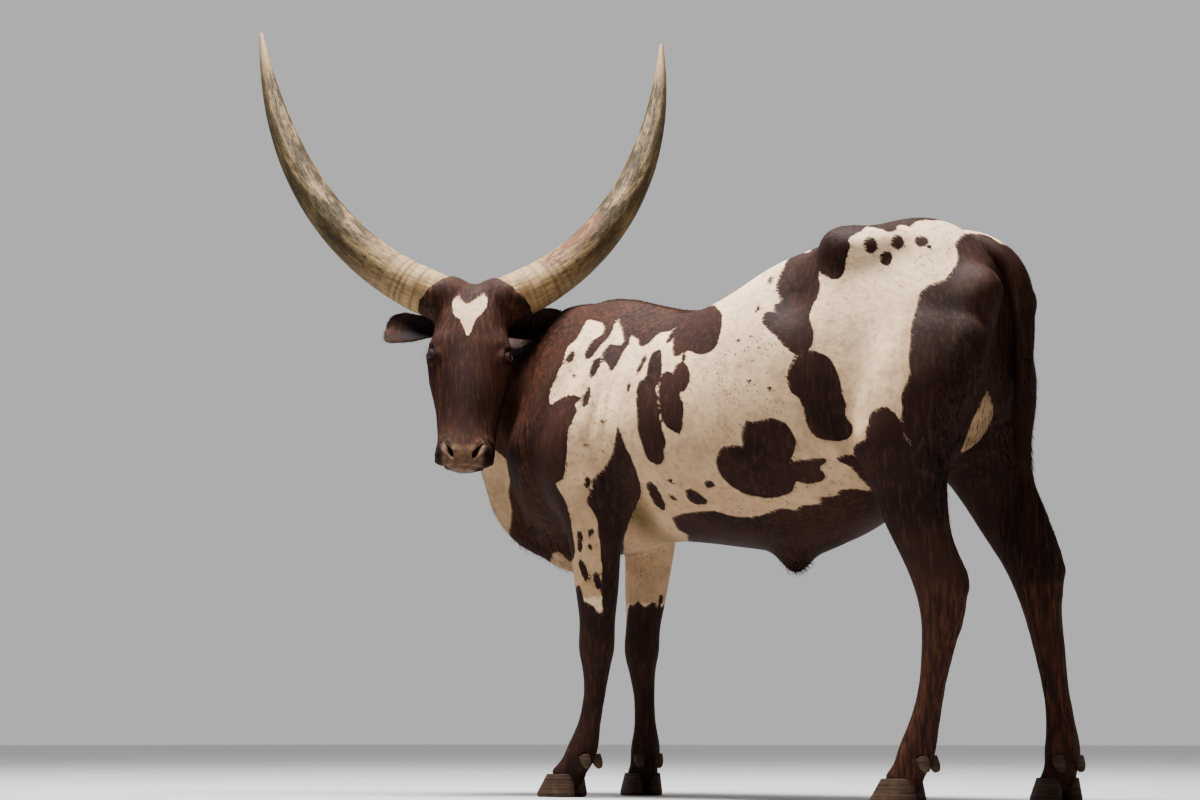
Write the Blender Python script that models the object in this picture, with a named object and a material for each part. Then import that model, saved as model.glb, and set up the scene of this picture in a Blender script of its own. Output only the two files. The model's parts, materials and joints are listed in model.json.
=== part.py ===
"""An Ankole-Watusi bull at life size, standing with its head turned back over its left shoulder.

Run it with  blender --background --python part.py

The flesh is modelled whole: lofts of the trunk, neck, head and legs are fused by a voxel Remesh,
relaxed, and swelled or hollowed where bones and muscles show.  It is then parted, with thin gaps,
into head, neck, trunk and legs.  Horns, eyes, ears, hooves, dewclaws and the tail are solids of
their own, trimmed to the flesh that they grow from.

Row frame, in metres: -X towards the front of the trunk, -Y to the bull's left, +Z up.
Head space, for what belongs to the head: the face looks along -Y, the bull's left is +X, and the
nose hangs along -Z from the poll at the origin.
"""

import math

import bmesh
import bpy
import numpy as np
from mathutils import Euler, Matrix, Vector

# ---- Driving dimensions ----
MODEL_SHIFT = (0.285, 0.080, 0.0)  # puts the origin under the middle of the whole model
GAP = 0.0004  # clear space between neighbouring solids
VOXEL = 0.0085  # fineness of the fused flesh
RELAX_ROUNDS = 36  # rounds of smoothing that melt the lofts together
COAT_DEPTH = 0.003  # the solids reach out to the tips of the coat
FLESH_TRIANGLES = 4640

HEAD_POLL = (-0.755, -0.205, 1.350)  # top of the head, between the horns
HEAD_TURN = 41.0  # degrees round Z, from looking along -Y
HEAD_NOD = 12.0  # degrees that the nose hangs forward of plumb
HEAD_TILT = 2.2  # degrees that the head leans to its left

HORN_ROOT = (0.058, 0.020, -0.034)  # in head space, inside the skull
HORN_FLATTEN = 0.94  # how much less deep than wide a horn is
HORN_SWEEP = 0.05  # how far the tip lies behind the plane of the face
# (length along the curve, degrees above level at the root, at the tip, how early it turns up)
HORNS = {"left": (1.03, 20.1, 91.1, 0.62), "right": (1.085, 15.4, 78.4, 0.70)}
# (share of the length, radius)
HORN_RADII = [(0.0, 0.058), (0.05, 0.063), (0.09, 0.064), (0.17, 0.060), (0.3, 0.055), (0.45, 0.049),
              (0.6, 0.041), (0.75, 0.030), (0.9, 0.016), (1.0, 0.004)]

EYE_CENTRE = (0.0925, -0.014, -0.211)  # in head space, for the left eye
EYE_RADIUS = 0.0200

HOOF_TOP = 0.058  # height of the cut between foot and hoof
CLAW_WIDTH = 0.049
CLAW_CLEFT = 0.003  # space between the two claws of a hoof
# (share of HOOF_TOP, toe ahead of the foot's middle, heel behind it, share of CLAW_WIDTH)
CLAW_SHAPE = [(0.0, 0.066, 0.046, 1.00), (0.2, 0.065, 0.048, 1.02), (1.0, 0.036, 0.040, 0.90)]

DEWCLAW_ROOT = (-0.022, 0.026, -0.016)  # ahead of the fetlock's middle, inwards of it, above it
DEWCLAW_REACH = (-0.013, -0.030)  # from root to tip: ahead, up
DEWCLAW_RADII = [(0.0, 0.0135), (0.6, 0.0125), (1.0, 0.007)]  # (share of the way to the tip, radius)

# ---- Flesh: the trunk ----
# Each station is (x, top z, bottom z, half width, z of the greatest width, power above, power below).
# A power of 2 gives an elliptical section, more a squarer one and less a more peaked one.
TRUNK = [
    (-0.735, 1.000, 0.790, 0.075, 0.900, 2.0, 2.0),
    (-0.690, 1.090, 0.700, 0.130, 0.890, 2.0, 2.0),
    (-0.600, 1.232, 0.650, 0.178, 0.900, 1.8, 2.0),
    (-0.490, 1.300, 0.640, 0.205, 0.920, 1.5, 2.0),
    (-0.380, 1.303, 0.618, 0.220, 0.930, 1.4, 2.0),
    (-0.260, 1.270, 0.645, 0.236, 0.930, 1.5, 2.1),
    (-0.130, 1.237, 0.634, 0.252, 0.920, 1.7, 2.2),
    (0.010, 1.266, 0.612, 0.266, 0.920, 1.9, 2.2),
    (0.150, 1.321, 0.596, 0.270, 0.930, 2.0, 2.2),
    (0.290, 1.346, 0.620, 0.254, 0.955, 2.2, 2.1),
    (0.410, 1.362, 0.678, 0.232, 1.000, 2.5, 2.0),
    (0.530, 1.376, 0.774, 0.212, 1.040, 2.2, 2.0),
    (0.620, 1.340, 0.800, 0.180, 1.060, 1.8, 2.0),
    (0.690, 1.272, 0.880, 0.130, 1.080, 1.8, 2.0),
    (0.730, 1.210, 0.980, 0.070, 1.090, 2.0, 2.0),
]

# The bones of the pelvis that show: (centre, radii, turn in degrees) on the bull's right.
HIP_BONES = [
    ((0.445, 0.105, 1.284), (0.125, 0.115, 0.062), (-8, 0, 14)),
    ((0.692, 0.078, 1.125), (0.070, 0.052, 0.105), (0, 20, 0)),
]
# The skin round the root of each horn, in head space.
PEDICLE = ((0.066, 0.020, -0.038), (0.062, 0.066, 0.066), (0, 0, 0))
COLLAR = [((0.045, 0.020, -0.040), 0.064), ((0.085, 0.020, -0.023), 0.067), ((0.110, 0.021, -0.012), 0.067)]
COLLAR_RISE, COLLAR_SLANT = 22.0, 0.55  # degrees above level, and the slant of the collar's end

# ---- Flesh: the neck, bent to the left. (centre, half height, half width) ----
NECK = [
    ((-0.470, 0.000, 1.000), 0.280, 0.165),
    ((-0.590, 0.000, 1.036), 0.282, 0.138),
    ((-0.700, -0.012, 1.058), 0.242, 0.116),
    ((-0.792, -0.042, 1.096), 0.206, 0.101),
    ((-0.832, -0.105, 1.134), 0.171, 0.095),
    ((-0.815, -0.165, 1.173), 0.153, 0.093),
    ((-0.780, -0.205, 1.195), 0.120, 0.085),
]

# ---- Flesh: the dewlap, a thin fold from the throat to between the forelegs ----
# Each station is (x, y, top z, bottom z, half thickness).
DEWLAP = [
    (-0.885, -0.052, 1.080, 0.935, 0.024),
    (-0.870, -0.040, 1.050, 0.845, 0.030),
    (-0.835, -0.030, 1.000, 0.742, 0.036),
    (-0.770, -0.018, 0.950, 0.665, 0.044),
    (-0.690, -0.008, 0.900, 0.625, 0.052),
    (-0.600, 0.000, 0.850, 0.582, 0.050),
    (-0.520, 0.000, 0.800, 0.578, 0.040),
    (-0.430, 0.000, 0.760, 0.610, 0.030),
]

# ---- Flesh: the head, in head space ----
# Each station is (z, front y, back y, half width, y of the greatest width, power in front, behind).
HEAD = [
    (0.006, -0.004, 0.062, 0.058, 0.025, 2.0, 2.0),
    (-0.018, -0.032, 0.105, 0.088, 0.025, 2.2, 2.0),
    (-0.060, -0.049, 0.138, 0.099, 0.025, 2.5, 2.0),
    (-0.120, -0.056, 0.158, 0.100, 0.025, 2.7, 2.1),
    (-0.200, -0.058, 0.172, 0.100, 0.030, 2.6, 2.3),
    (-0.280, -0.056, 0.170, 0.096, 0.040, 2.3, 2.5),
    (-0.340, -0.053, 0.148, 0.090, 0.040, 2.2, 2.5),
    (-0.390, -0.050, 0.115, 0.080, 0.030, 2.2, 2.4),
    (-0.430, -0.050, 0.097, 0.073, 0.022, 2.3, 2.3),
    (-0.465, -0.054, 0.090, 0.073, 0.012, 2.7, 2.3),
    (-0.492, -0.055, 0.080, 0.072, 0.004, 3.0, 2.3),
    (-0.508, -0.052, 0.056, 0.067, -0.004, 3.0, 2.2),
    (-0.524, -0.043, 0.022, 0.046, -0.010, 2.6, 2.0),
    (-0.536, -0.028, -0.004, 0.024, -0.015, 2.0, 2.0),
]

# ---- Legs. A joint is a point in the row frame; a profile runs along the path through them ----
LEG_JOINTS = {
    "fore_left": [
        (-0.450, -0.150, 0.900), (-0.376, -0.160, 0.715), (-0.384, -0.130, 0.520), (-0.398, -0.115, 0.372),
        (-0.406, -0.115, 0.250), (-0.444, -0.115, 0.120), (-0.500, -0.120, 0.040),
    ],
    "fore_right": [
        (-0.470, 0.150, 0.900), (-0.440, 0.160, 0.715), (-0.432, 0.130, 0.520), (-0.434, 0.115, 0.372),
        (-0.426, 0.115, 0.250), (-0.424, 0.117, 0.120), (-0.448, 0.132, 0.040),
    ],
    "hind_left": [
        (0.600, -0.110, 1.080), (0.572, -0.165, 0.880), (0.565, -0.172, 0.690), (0.628, -0.150, 0.465),
        (0.604, -0.150, 0.270), (0.560, -0.150, 0.120), (0.518, -0.154, 0.040),
    ],
    "hind_right": [
        (0.575, 0.105, 1.080), (0.570, 0.150, 0.880), (0.610, 0.166, 0.700), (0.706, 0.150, 0.508),
        (0.748, 0.150, 0.270), (0.760, 0.152, 0.120), (0.736, 0.166, 0.040),
    ],
}

# (place along the joints, half depth fore and aft, half width); place 2.5 is halfway from joint 2 to 3.
FORE_PROFILE = [
    (0.0, 0.120, 0.070), (0.6, 0.108, 0.070), (1.0, 0.088, 0.062), (1.5, 0.074, 0.055), (2.0, 0.062, 0.049),
    (2.5, 0.049, 0.043), (3.0, 0.048, 0.046), (3.4, 0.036, 0.037), (4.0, 0.0295, 0.0285), (4.5, 0.031, 0.030),
    (4.85, 0.038, 0.038), (5.1, 0.040, 0.041), (5.5, 0.036, 0.040), (6.0, 0.046, 0.048),
]
HIND_PROFILE = [
    (0.0, 0.145, 0.080), (0.5, 0.155, 0.092), (1.0, 0.140, 0.084), (1.5, 0.112, 0.072), (2.0, 0.084, 0.054),
    (2.5, 0.067, 0.044), (3.0, 0.056, 0.043), (3.35, 0.045, 0.038), (4.0, 0.032, 0.030), (4.5, 0.035, 0.032),
    (4.85, 0.040, 0.040), (5.1, 0.042, 0.043), (5.5, 0.037, 0.041), (6.0, 0.047, 0.049),
]
TENDON_PROFILE = [(0.0, 0.015, 0.018), (1.0, 0.024, 0.023), (2.0, 0.022, 0.018), (3.0, 0.045, 0.034)]
CORD_PROFILE = [(0.0, 0.020, 0.020), (1.0, 0.022, 0.022), (2.0, 0.018, 0.018)]
TENDON_BACK = {"hind_left": (0.072, 0.034), "hind_right": (0.040, 0.044)}  # behind the stifle and the hock

# ---- Bones, muscles and hollows: (centre, radii, turn in degrees, how far the skin moves out) ----
# Those of the body are for both sides, with y for the right one.
BODY_SWELLS = {
    "withers": ((-0.440, 0.000, 1.300), (0.150, 0.070, 0.060), (0, 4, 0), 0.006),
    "scapula_ridge": ((-0.470, 0.170, 1.110), (0.040, 0.100, 0.170), (0, 28, 0), 0.012),
    "scapula_back": ((-0.365, 0.180, 1.080), (0.045, 0.100, 0.150), (0, 8, 0), 0.010),
    "triceps": ((-0.400, 0.200, 0.900), (0.105, 0.090, 0.120), (0, -30, 0), 0.030),
    "shoulder_point": ((-0.620, 0.160, 0.905), (0.080, 0.080, 0.090), (0, 0, 0), 0.026),
    "behind_shoulder": ((-0.275, 0.230, 0.990), (0.045, 0.120, 0.210), (0, 6, 0), -0.014),
    "elbow": ((-0.330, 0.190, 0.770), (0.050, 0.060, 0.050), (0, 0, 0), 0.016),
    "armpit": ((-0.225, 0.200, 0.730), (0.060, 0.100, 0.060), (0, 0, 0), -0.014),
    "flank_hollow": ((0.285, 0.210, 1.180), (0.085, 0.100, 0.075), (0, 25, 0), -0.026),
    "loin_edge": ((0.250, 0.170, 1.285), (0.150, 0.060, 0.022), (0, -5, 0), 0.008),
    "hook": ((0.383, 0.180, 1.316), (0.062, 0.085, 0.075), (0, 0, 0), 0.026),
    "rump_slope": ((0.600, 0.150, 1.235), (0.120, 0.080, 0.055), (0, 24, 0), -0.008),
    "hip_joint": ((0.600, 0.200, 1.090), (0.090, 0.080, 0.090), (0, 0, 0), 0.014),
    "pin": ((0.760, 0.095, 1.160), (0.045, 0.050, 0.050), (0, 0, 0), 0.010),
    "between_pins": ((0.730, 0.000, 1.120), (0.050, 0.040, 0.150), (0, 10, 0), -0.016),
    "thigh": ((0.590, 0.230, 0.950), (0.130, 0.100, 0.140), (0, 10, 0), 0.016),
    "buttock": ((0.715, 0.120, 0.980), (0.060, 0.080, 0.150), (0, 8, 0), 0.012),
    "stifle": ((0.500, 0.210, 0.810), (0.055, 0.070, 0.060), (0, 0, 0), 0.020),
    "flank_fold": ((0.420, 0.180, 0.765), (0.060, 0.070, 0.090), (0, -35, 0), 0.007),
    "sheath": ((0.138, 0.000, 0.590), (0.044, 0.042, 0.060), (0, 0, 0), 0.052),
    "sheath_fold": ((0.215, 0.000, 0.590), (0.100, 0.040, 0.060), (0, 0, 0), 0.014),
}
# Those of the head are in head space and for both sides, with x for the left one.
HEAD_SWELLS = {
    "poll": ((0.000, 0.015, 0.000), (0.055, 0.060, 0.035), (0, 0, 0), 0.004),
    "horn_boss": ((0.100, 0.020, -0.040), (0.045, 0.050, 0.040), (0, 0, 0), 0.014),
    "brow": ((0.086, -0.035, -0.176), (0.030, 0.040, 0.028), (0, 0, 0), 0.011),
    "orbit": ((0.100, 0.002, -0.209), (0.040, 0.060, 0.058), (0, 0, 0), 0.0135),
    "temple": ((0.105, 0.050, -0.130), (0.040, 0.045, 0.030), (0, 0, 0), -0.004),
    "cheek": ((0.100, 0.110, -0.220), (0.050, 0.070, 0.085), (0, 0, 0), 0.012),
    "cheekbone": ((0.092, 0.010, -0.275), (0.030, 0.030, 0.060), (16, 0, 0), 0.007),
    "below_cheekbone": ((0.090, 0.050, -0.360), (0.040, 0.035, 0.060), (16, 0, 0), -0.008),
    "bridge": ((0.000, -0.060, -0.340), (0.032, 0.040, 0.110), (0, 0, 0), 0.005),
    "bridge_side": ((0.056, -0.045, -0.385), (0.022, 0.035, 0.050), (0, 0, 0), -0.005),
    "nostril_wing": ((0.060, -0.032, -0.484), (0.022, 0.030, 0.030), (0, 0, 0), 0.007),
    "upper_lip": ((0.068, 0.000, -0.505), (0.022, 0.040, 0.020), (0, 0, 0), 0.007),
    "mouth_corner": ((0.074, 0.050, -0.480), (0.026, 0.030, 0.024), (0, 0, 0), 0.005),
}

# ---- Ears: (share of the length, width towards the head's top, width below, depth of the cup) ----
EAR_ROOT = (0.072, 0.106, -0.084)  # in head space, for the left ear
EAR_TURNS = {"left": (-8.0, -6.5, -22.0), "right": (-8.0, -8.0, 14.0)}  # degrees
EAR_LENGTH = 0.182
EAR_THICKNESS = 0.006
EAR_SHAPE = [(0.0, 0.024, 0.026, 0.012), (0.2, 0.027, 0.036, 0.020), (0.45, 0.032, 0.051, 0.020),
             (0.7, 0.042, 0.053, 0.015), (0.86, 0.041, 0.050, 0.010), (0.95, 0.034, 0.040, 0.006),
             (0.99, 0.016, 0.018, 0.003), (1.0, 0.005, 0.006, 0.001)]

# ---- Tail: (point, radius) from the dock down, then the switch of long hair below it ----
TAIL = [
    ((0.590, 0.020, 1.308), 0.034), ((0.662, 0.028, 1.289), 0.032), ((0.722, 0.036, 1.243), 0.030),
    ((0.752, 0.042, 1.176), 0.028), ((0.757, 0.044, 1.080), 0.025), ((0.748, 0.046, 0.970), 0.022),
    ((0.742, 0.048, 0.850), 0.019), ((0.744, 0.050, 0.740), 0.016),
]
SWITCH = [((0.746, 0.050, 0.739), 0.017), ((0.748, 0.050, 0.690), 0.024), ((0.747, 0.050, 0.630), 0.027),
          ((0.748, 0.050, 0.580), 0.021), ((0.751, 0.050, 0.530), 0.007)]

# ---- Where the flesh is parted: cutters as levels of (z, low x, high x, low y, high y) ----
HEAD_CUT = [  # in head space; it narrows below the eyes, to leave out the shoulder beside the muzzle
    (-0.56, -0.100, 0.097, -0.30, 0.100), (-0.42, -0.100, 0.094, -0.30, 0.108),
    (-0.35, -0.110, 0.097, -0.30, 0.155), (-0.30, -0.130, 0.105, -0.30, 0.165),
    (-0.25, -0.135, 0.122, -0.30, 0.165), (-0.12, -0.135, 0.122, -0.30, 0.165),
    (-0.10, -0.165, 0.165, -0.30, 0.165), (0.20, -0.165, 0.165, -0.30, 0.165),
]
NECK_ROOT = (-0.575, 0, 1.2)  # a point of the cut between neck and trunk
NECK_TILT = 14  # degrees that this cut leans
NECK_CUT = [(-0.72, -0.60, 0.0, -0.60, 0.40), (0.40, -0.60, 0.0, -0.60, 0.40)]  # from NECK_ROOT
LEG_CUTS = {  # (front, rear, inner side, outer side, top)
    "leg_fore": (-0.515, -0.265, 0.052, 0.500, 0.690),
    "leg_hind": (0.440, 0.900, 0.016, 0.500, 0.800),
}

COLOURS = {  # (linear colour, roughness)
    "brown_coat": ((0.045, 0.022, 0.016), 0.6),
    "cream_coat": ((0.55, 0.45, 0.33), 0.65),
    "horn": ((0.48, 0.40, 0.28), 0.45),
    "hoof": ((0.05, 0.035, 0.028), 0.5),
    "eye": ((0.015, 0.010, 0.008), 0.08),
}


def clear_scene():
    for obj in list(bpy.data.objects):
        bpy.data.objects.remove(obj)


def add_object(name, mesh):
    obj = bpy.data.objects.new(name, mesh)
    bpy.context.scene.collection.objects.link(obj)
    return obj


def object_from(name, bm):
    bm.normal_update()
    bmesh.ops.recalc_face_normals(bm, faces=bm.faces)
    mesh = bpy.data.meshes.new(name)
    bm.to_mesh(mesh)
    bm.free()
    return add_object(name, mesh)


# ---- Blocks ----


def ring(centre, side, up, widths, heights, powers=(2.0, 2.0), points=28):
    """A closed section; widths, heights and powers are pairs: towards minus and plus side or up."""
    made = []
    for i in range(points):
        angle = 2 * math.pi * i / points
        c, s = math.cos(angle), math.sin(angle)
        power = 2.0 / powers[s > 0]
        across = math.copysign(abs(c) ** power, c) * widths[c > 0]
        along = math.copysign(abs(s) ** power, s) * heights[s > 0]
        made.append(centre + side * across + up * along)
    return made


def loft(name, rings, matrix=None):
    """One closed mesh through the rings, with flat ends."""
    bm = bmesh.new()
    loops = [[bm.verts.new(p) for p in points] for points in rings]
    for lower, upper in zip(loops, loops[1:]):
        for i in range(len(lower)):
            j = (i + 1) % len(lower)
            bm.faces.new((lower[i], lower[j], upper[j], upper[i]))
    bm.faces.new(loops[0][::-1])
    bm.faces.new(loops[-1])
    if matrix is not None:
        bm.transform(matrix)
    return object_from(name, bm)


def along_curve(rows, place):
    """The row at place on a Catmull-Rom curve through the rows: 2.5 is halfway from rows[2] to rows[3]."""
    i = min(int(place), len(rows) - 2)
    p0, p1, p2, p3 = (rows[min(max(k, 0), len(rows) - 1)] for k in range(i - 1, i + 3))
    t = place - i
    bend = 2 * p0 - 5 * p1 + 4 * p2 - p3 + t * (3 * p1 - p0 - 3 * p2 + p3)
    return p1 + 0.5 * t * (p2 - p0 + t * bend)


def smooth_rows(rows, steps):
    """The rows with steps - 1 smooth ones put between each two."""
    rows = np.array(rows, float)
    return [along_curve(rows, k / steps) for k in range((len(rows) - 1) * steps + 1)]


def path_frame(points, place, side_hint):
    """(point, side, up) on the path, with side as near side_hint as it can be."""
    here = Vector(along_curve(points, place))
    ahead = Vector(along_curve(points, min(place + 0.02, len(points) - 1)))
    behind = Vector(along_curve(points, max(place - 0.02, 0)))
    direction = (ahead - behind).normalized()
    up = side_hint.cross(direction).normalized()
    return here, direction.cross(up).normalized(), up


def limb(name, joints, profile, points=24):
    """A tube of rounded sections along the joints. The profile is as FORE_PROFILE says."""
    joints = np.array(joints, float)
    rings = []
    for place, half_depth, half_width in smooth_rows(profile, 3):
        here, side, fore = path_frame(joints, min(place, len(joints) - 1), Vector((0, 1, 0)))
        rings.append(ring(here, side, fore, (half_width,) * 2, (half_depth,) * 2, points=points))
    return loft(name, rings)


# ---- The flesh ----


def head_matrix():
    turn = Euler((math.radians(-HEAD_NOD), math.radians(HEAD_TILT), 0)).to_matrix().to_4x4()
    return Matrix.Translation(HEAD_POLL) @ Matrix.Rotation(math.radians(HEAD_TURN), 4, "Z") @ turn


def ellipsoid(name, centre, radii, turn):
    """radii along X, Y and Z before turn, which is in degrees."""
    bm = bmesh.new()
    bmesh.ops.create_uvsphere(bm, u_segments=24, v_segments=12, radius=1.0)
    place = Matrix.Translation(centre) @ Euler([math.radians(angle) for angle in turn]).to_matrix().to_4x4()
    bm.transform(place @ Matrix.Diagonal((*radii, 1.0)))
    return object_from(name, bm)


def collar(side):
    """The skin round a horn's root, in sections across the horn."""
    rise = math.radians(COLLAR_RISE)
    along, up = Vector((math.cos(rise), 0, math.sin(rise))), Vector((-math.sin(rise), 0, math.cos(rise)))
    rings = []
    for i, (centre, radius) in enumerate(COLLAR):
        leaning = up - along * (COLLAR_SLANT * i / (len(COLLAR) - 1))
        rings.append(ring(Vector(centre), Vector((0, 1, 0)), leaning, (radius,) * 2, (radius,) * 2))
    return loft("collar", rings, head_matrix() @ Matrix.Diagonal((side, 1, 1, 1)))


def bone_lumps():
    """Hooks, pins and the skin round the horns' roots, on both sides."""
    made = []
    for side in (1, -1):
        for (x, y, z), radii, (tilt, nod, yaw) in HIP_BONES:
            made.append(ellipsoid("hip_bone", (x, side * y, z), radii, (side * tilt, nod, side * yaw)))
        (x, y, z), radii, turn = PEDICLE
        pedicle = ellipsoid("pedicle", (side * x, y, z), radii, turn)
        pedicle.data.transform(head_matrix())
        made += [pedicle, collar(side)]
    return made


def trunk_loft():
    y_axis, z_axis = Vector((0, 1, 0)), Vector((0, 0, 1))
    rings = [
        ring(Vector((x, 0, z)), y_axis, z_axis, (w, w), (z - low, top - z), (below, above), 40)
        for x, top, low, w, z, above, below in smooth_rows(TRUNK, 3)
    ]
    return loft("barrel", rings)


def neck_lofts():
    joints = np.array([centre for centre, _, _ in NECK])
    rings = []
    sizes = [(i, height, width) for i, (_, height, width) in enumerate(NECK)]
    for place, half_height, half_width in smooth_rows(sizes, 3):
        here, up, side = path_frame(joints, place, Vector((0, 0, 1)))
        rings.append(ring(here, side, up, (half_width,) * 2, (half_height,) * 2, (2.0, 1.7)))
    fold = []
    y_axis, z_axis = Vector((0, 1, 0)), Vector((0, 0, 1))
    for x, y, top, low, half in smooth_rows(DEWLAP, 3):
        middle = Vector((x, y, (top + low) / 2))
        fold.append(ring(middle, y_axis, z_axis, (half,) * 2, ((top - low) / 2,) * 2, (1.7, 2.0)))
    return [loft("neck_core", rings), loft("dewlap", fold)]


def head_loft():
    x_axis, y_axis = Vector((1, 0, 0)), Vector((0, 1, 0))
    rings = [
        ring(Vector((0, y, z)), x_axis, y_axis, (w, w), (y - front, back - y), (in_front, behind), 36)
        for z, front, back, w, y, in_front, behind in smooth_rows(HEAD, 3)
    ]
    return loft("skull", rings, head_matrix())


def leg_lofts(name):
    joints = LEG_JOINTS[name]
    side = math.copysign(1, joints[0][1])
    if name.startswith("fore"):
        return [limb(name, joints, FORE_PROFILE)]
    back, low = TENDON_BACK[name]
    stifle, hock, shin = (Vector(joint) for joint in joints[2:5])
    heel = hock + Vector((0.057, side * 0.004, 0.030))
    tendon = [heel + Vector((0.008, 0, -0.030)), heel, heel + Vector((-0.034, side * 0.010, 0.110)),
              stifle + Vector((back, side * 0.008, 0.070))]
    cord = [heel, hock + Vector((low, 0, -0.070)), hock.lerp(shin, 0.6) + Vector((0.018, 0, 0))]
    return [
        limb(name, joints, HIND_PROFILE),
        limb("tendon", tendon, TENDON_PROFILE),
        limb("cord", cord, CORD_PROFILE),
    ]


def join(name, objects):
    bm = bmesh.new()
    for obj in objects:
        bm.from_mesh(obj.data)
        bpy.data.objects.remove(obj)
    return object_from(name, bm)


def apply_modifiers(obj):
    graph = bpy.context.evaluated_depsgraph_get()
    mesh = bpy.data.meshes.new_from_object(obj.evaluated_get(graph))
    obj.modifiers.clear()
    obj.data = mesh
    return obj


def points_of(mesh):
    found = np.empty(len(mesh.vertices) * 3)
    mesh.vertices.foreach_get("co", found)
    return found.reshape(-1, 3)


def normals_of(mesh):
    found = np.empty(len(mesh.vertices) * 3)
    mesh.vertex_normals.foreach_get("vector", found)
    return found.reshape(-1, 3)


def in_head_space(points):
    back = np.array(head_matrix().inverted())
    return points @ back[:3, :3].T + back[:3, 3]


def fineness(points):
    """How much of the relaxing each point takes: all on the trunk, little on the head and the feet."""
    local = in_head_space(points)
    from_face = np.clip((local[:, 1] - 0.10) / 0.10, 0, 1)
    beside = 0.13 + 0.03 * np.clip((local[:, 2] + 0.15) / 0.05, 0, 1)
    from_face += np.clip((np.abs(local[:, 0]) - beside) / 0.05, 0, 1)
    from_feet = np.clip((points[:, 2] - 0.45) / 0.25, 0, 1)
    return 0.12 + 0.88 * np.minimum(np.clip(from_face, 0, 1), from_feet)


def relax(mesh, rounds, share):
    """Moves each point towards the middle of its neighbours, by half the way times its share."""
    points = points_of(mesh)
    ends = np.empty(len(mesh.edges) * 2, int)
    mesh.edges.foreach_get("vertices", ends)
    here, there = np.vstack([ends.reshape(-1, 2), ends.reshape(-1, 2)[:, ::-1]]).T
    count = np.bincount(here, minlength=len(points))[:, None]
    for _ in range(rounds):
        total = np.stack([np.bincount(here, points[there, k], len(points)) for k in range(3)], axis=1)
        points += 0.5 * share[:, None] * (total / count - points)
    mesh.vertices.foreach_set("co", points.ravel())
    mesh.update()


def swell(mesh, swells, local, mirror):
    """Moves the skin out, or in, round each centre and its image across the mirror axis of local."""
    push = np.zeros(len(local))
    for centre, radii, turn, depth in swells.values():
        rotation = np.array(Euler([math.radians(angle) for angle in turn]).to_matrix())
        for side in (1, -1) if centre[mirror] else (1,):
            flipped = local.copy()
            flipped[:, mirror] *= side
            away = ((flipped - centre) @ rotation) / radii
            push += depth * np.exp(-1.2 * (away**2).sum(axis=1))
    points = points_of(mesh) + normals_of(mesh) * push[:, None]
    mesh.vertices.foreach_set("co", points.ravel())
    mesh.update()


def fused_flesh():
    """The whole soft body, without ears and tail, as one closed mesh."""
    blocks = [trunk_loft(), head_loft()] + bone_lumps() + neck_lofts()
    for name in LEG_JOINTS:
        blocks += leg_lofts(name)
    flesh = join("flesh", blocks)
    remesh = flesh.modifiers.new("fuse", "REMESH")
    remesh.mode, remesh.voxel_size = "VOXEL", VOXEL
    apply_modifiers(flesh)
    mesh = flesh.data
    relax(mesh, RELAX_ROUNDS, fineness(points_of(mesh)))
    swell(mesh, BODY_SWELLS, points_of(mesh), 1)
    swell(mesh, HEAD_SWELLS, in_head_space(points_of(mesh)), 0)
    relax(mesh, 4, np.ones(len(mesh.vertices)))
    return flesh


# ---- What grows from the flesh ----


def horn(name, side):
    """A horn that leaves the skull sideways and turns up, with its tip a little behind."""
    steps = 13
    length, first, last, early = HORNS[name.removeprefix("horn_")]
    spine = [Vector(HORN_ROOT)]
    for i in range(steps):
        share = (i + 0.5) / steps
        heading = math.radians(first + (last - first) * (share + early * share * (1 - share)))
        step = Vector((math.cos(heading), 2 * HORN_SWEEP * share / length, math.sin(heading)))
        spine.append(spine[-1] + step * (length / steps))
    shares, radii = np.array(HORN_RADII).T
    rings = []
    for i, here in enumerate(spine):
        direction = (spine[min(i + 1, steps)] - spine[max(i - 1, 0)]).normalized()
        across = Vector((0, 1, 0)).cross(direction).normalized()
        radius = float(np.interp(i / steps, shares, radii))
        depth = radius * HORN_FLATTEN
        rings.append(ring(here, across, direction.cross(across), (radius,) * 2, (depth,) * 2, points=12))
    return loft(name, rings, head_matrix() @ Matrix.Diagonal((side, 1, 1, 1)))


def ear(name, side):
    """A cupped leaf that stands out sideways with its hollow towards the front."""
    columns = 6
    rows = smooth_rows(EAR_SHAPE, 1)
    last = len(rows) - 1
    bm = bmesh.new()
    sheets = []
    for face in (-0.5, 0.5):
        sheet = []
        for share, above, below, cup in rows:
            row = []
            for k in range(columns + 1):
                v = 2 * k / columns - 1
                thickness = EAR_THICKNESS * (1 - 0.65 * v * v)
                hollow = 1.6 * cup * (0.4 - v * v) + 0.10 * share * share * EAR_LENGTH
                point = (share * EAR_LENGTH, hollow + face * thickness, v * (above if v > 0 else below))
                row.append(bm.verts.new(point))
            sheet.append(row)
        for i in range(last):
            for k in range(columns):
                bm.faces.new((sheet[i][k], sheet[i + 1][k], sheet[i + 1][k + 1], sheet[i][k + 1]))
        sheets.append(sheet)
    front, back = sheets
    border = [(0, k) for k in range(columns)] + [(i, columns) for i in range(last)]
    border += [(last, k) for k in range(columns, 0, -1)] + [(i, 0) for i in range(last, 0, -1)]
    for (i, k), (j, m) in zip(border, border[1:] + border[:1]):
        bm.faces.new((front[i][k], back[i][k], back[j][m], front[j][m]))
    angles = EAR_TURNS[name.removeprefix("ear_")]
    turn = Euler([math.radians(angle) for angle in angles]).to_matrix().to_4x4()
    bm.transform(head_matrix() @ Matrix.Diagonal((side, 1, 1, 1)) @ Matrix.Translation(EAR_ROOT) @ turn)
    return object_from(name, bm)


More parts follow.
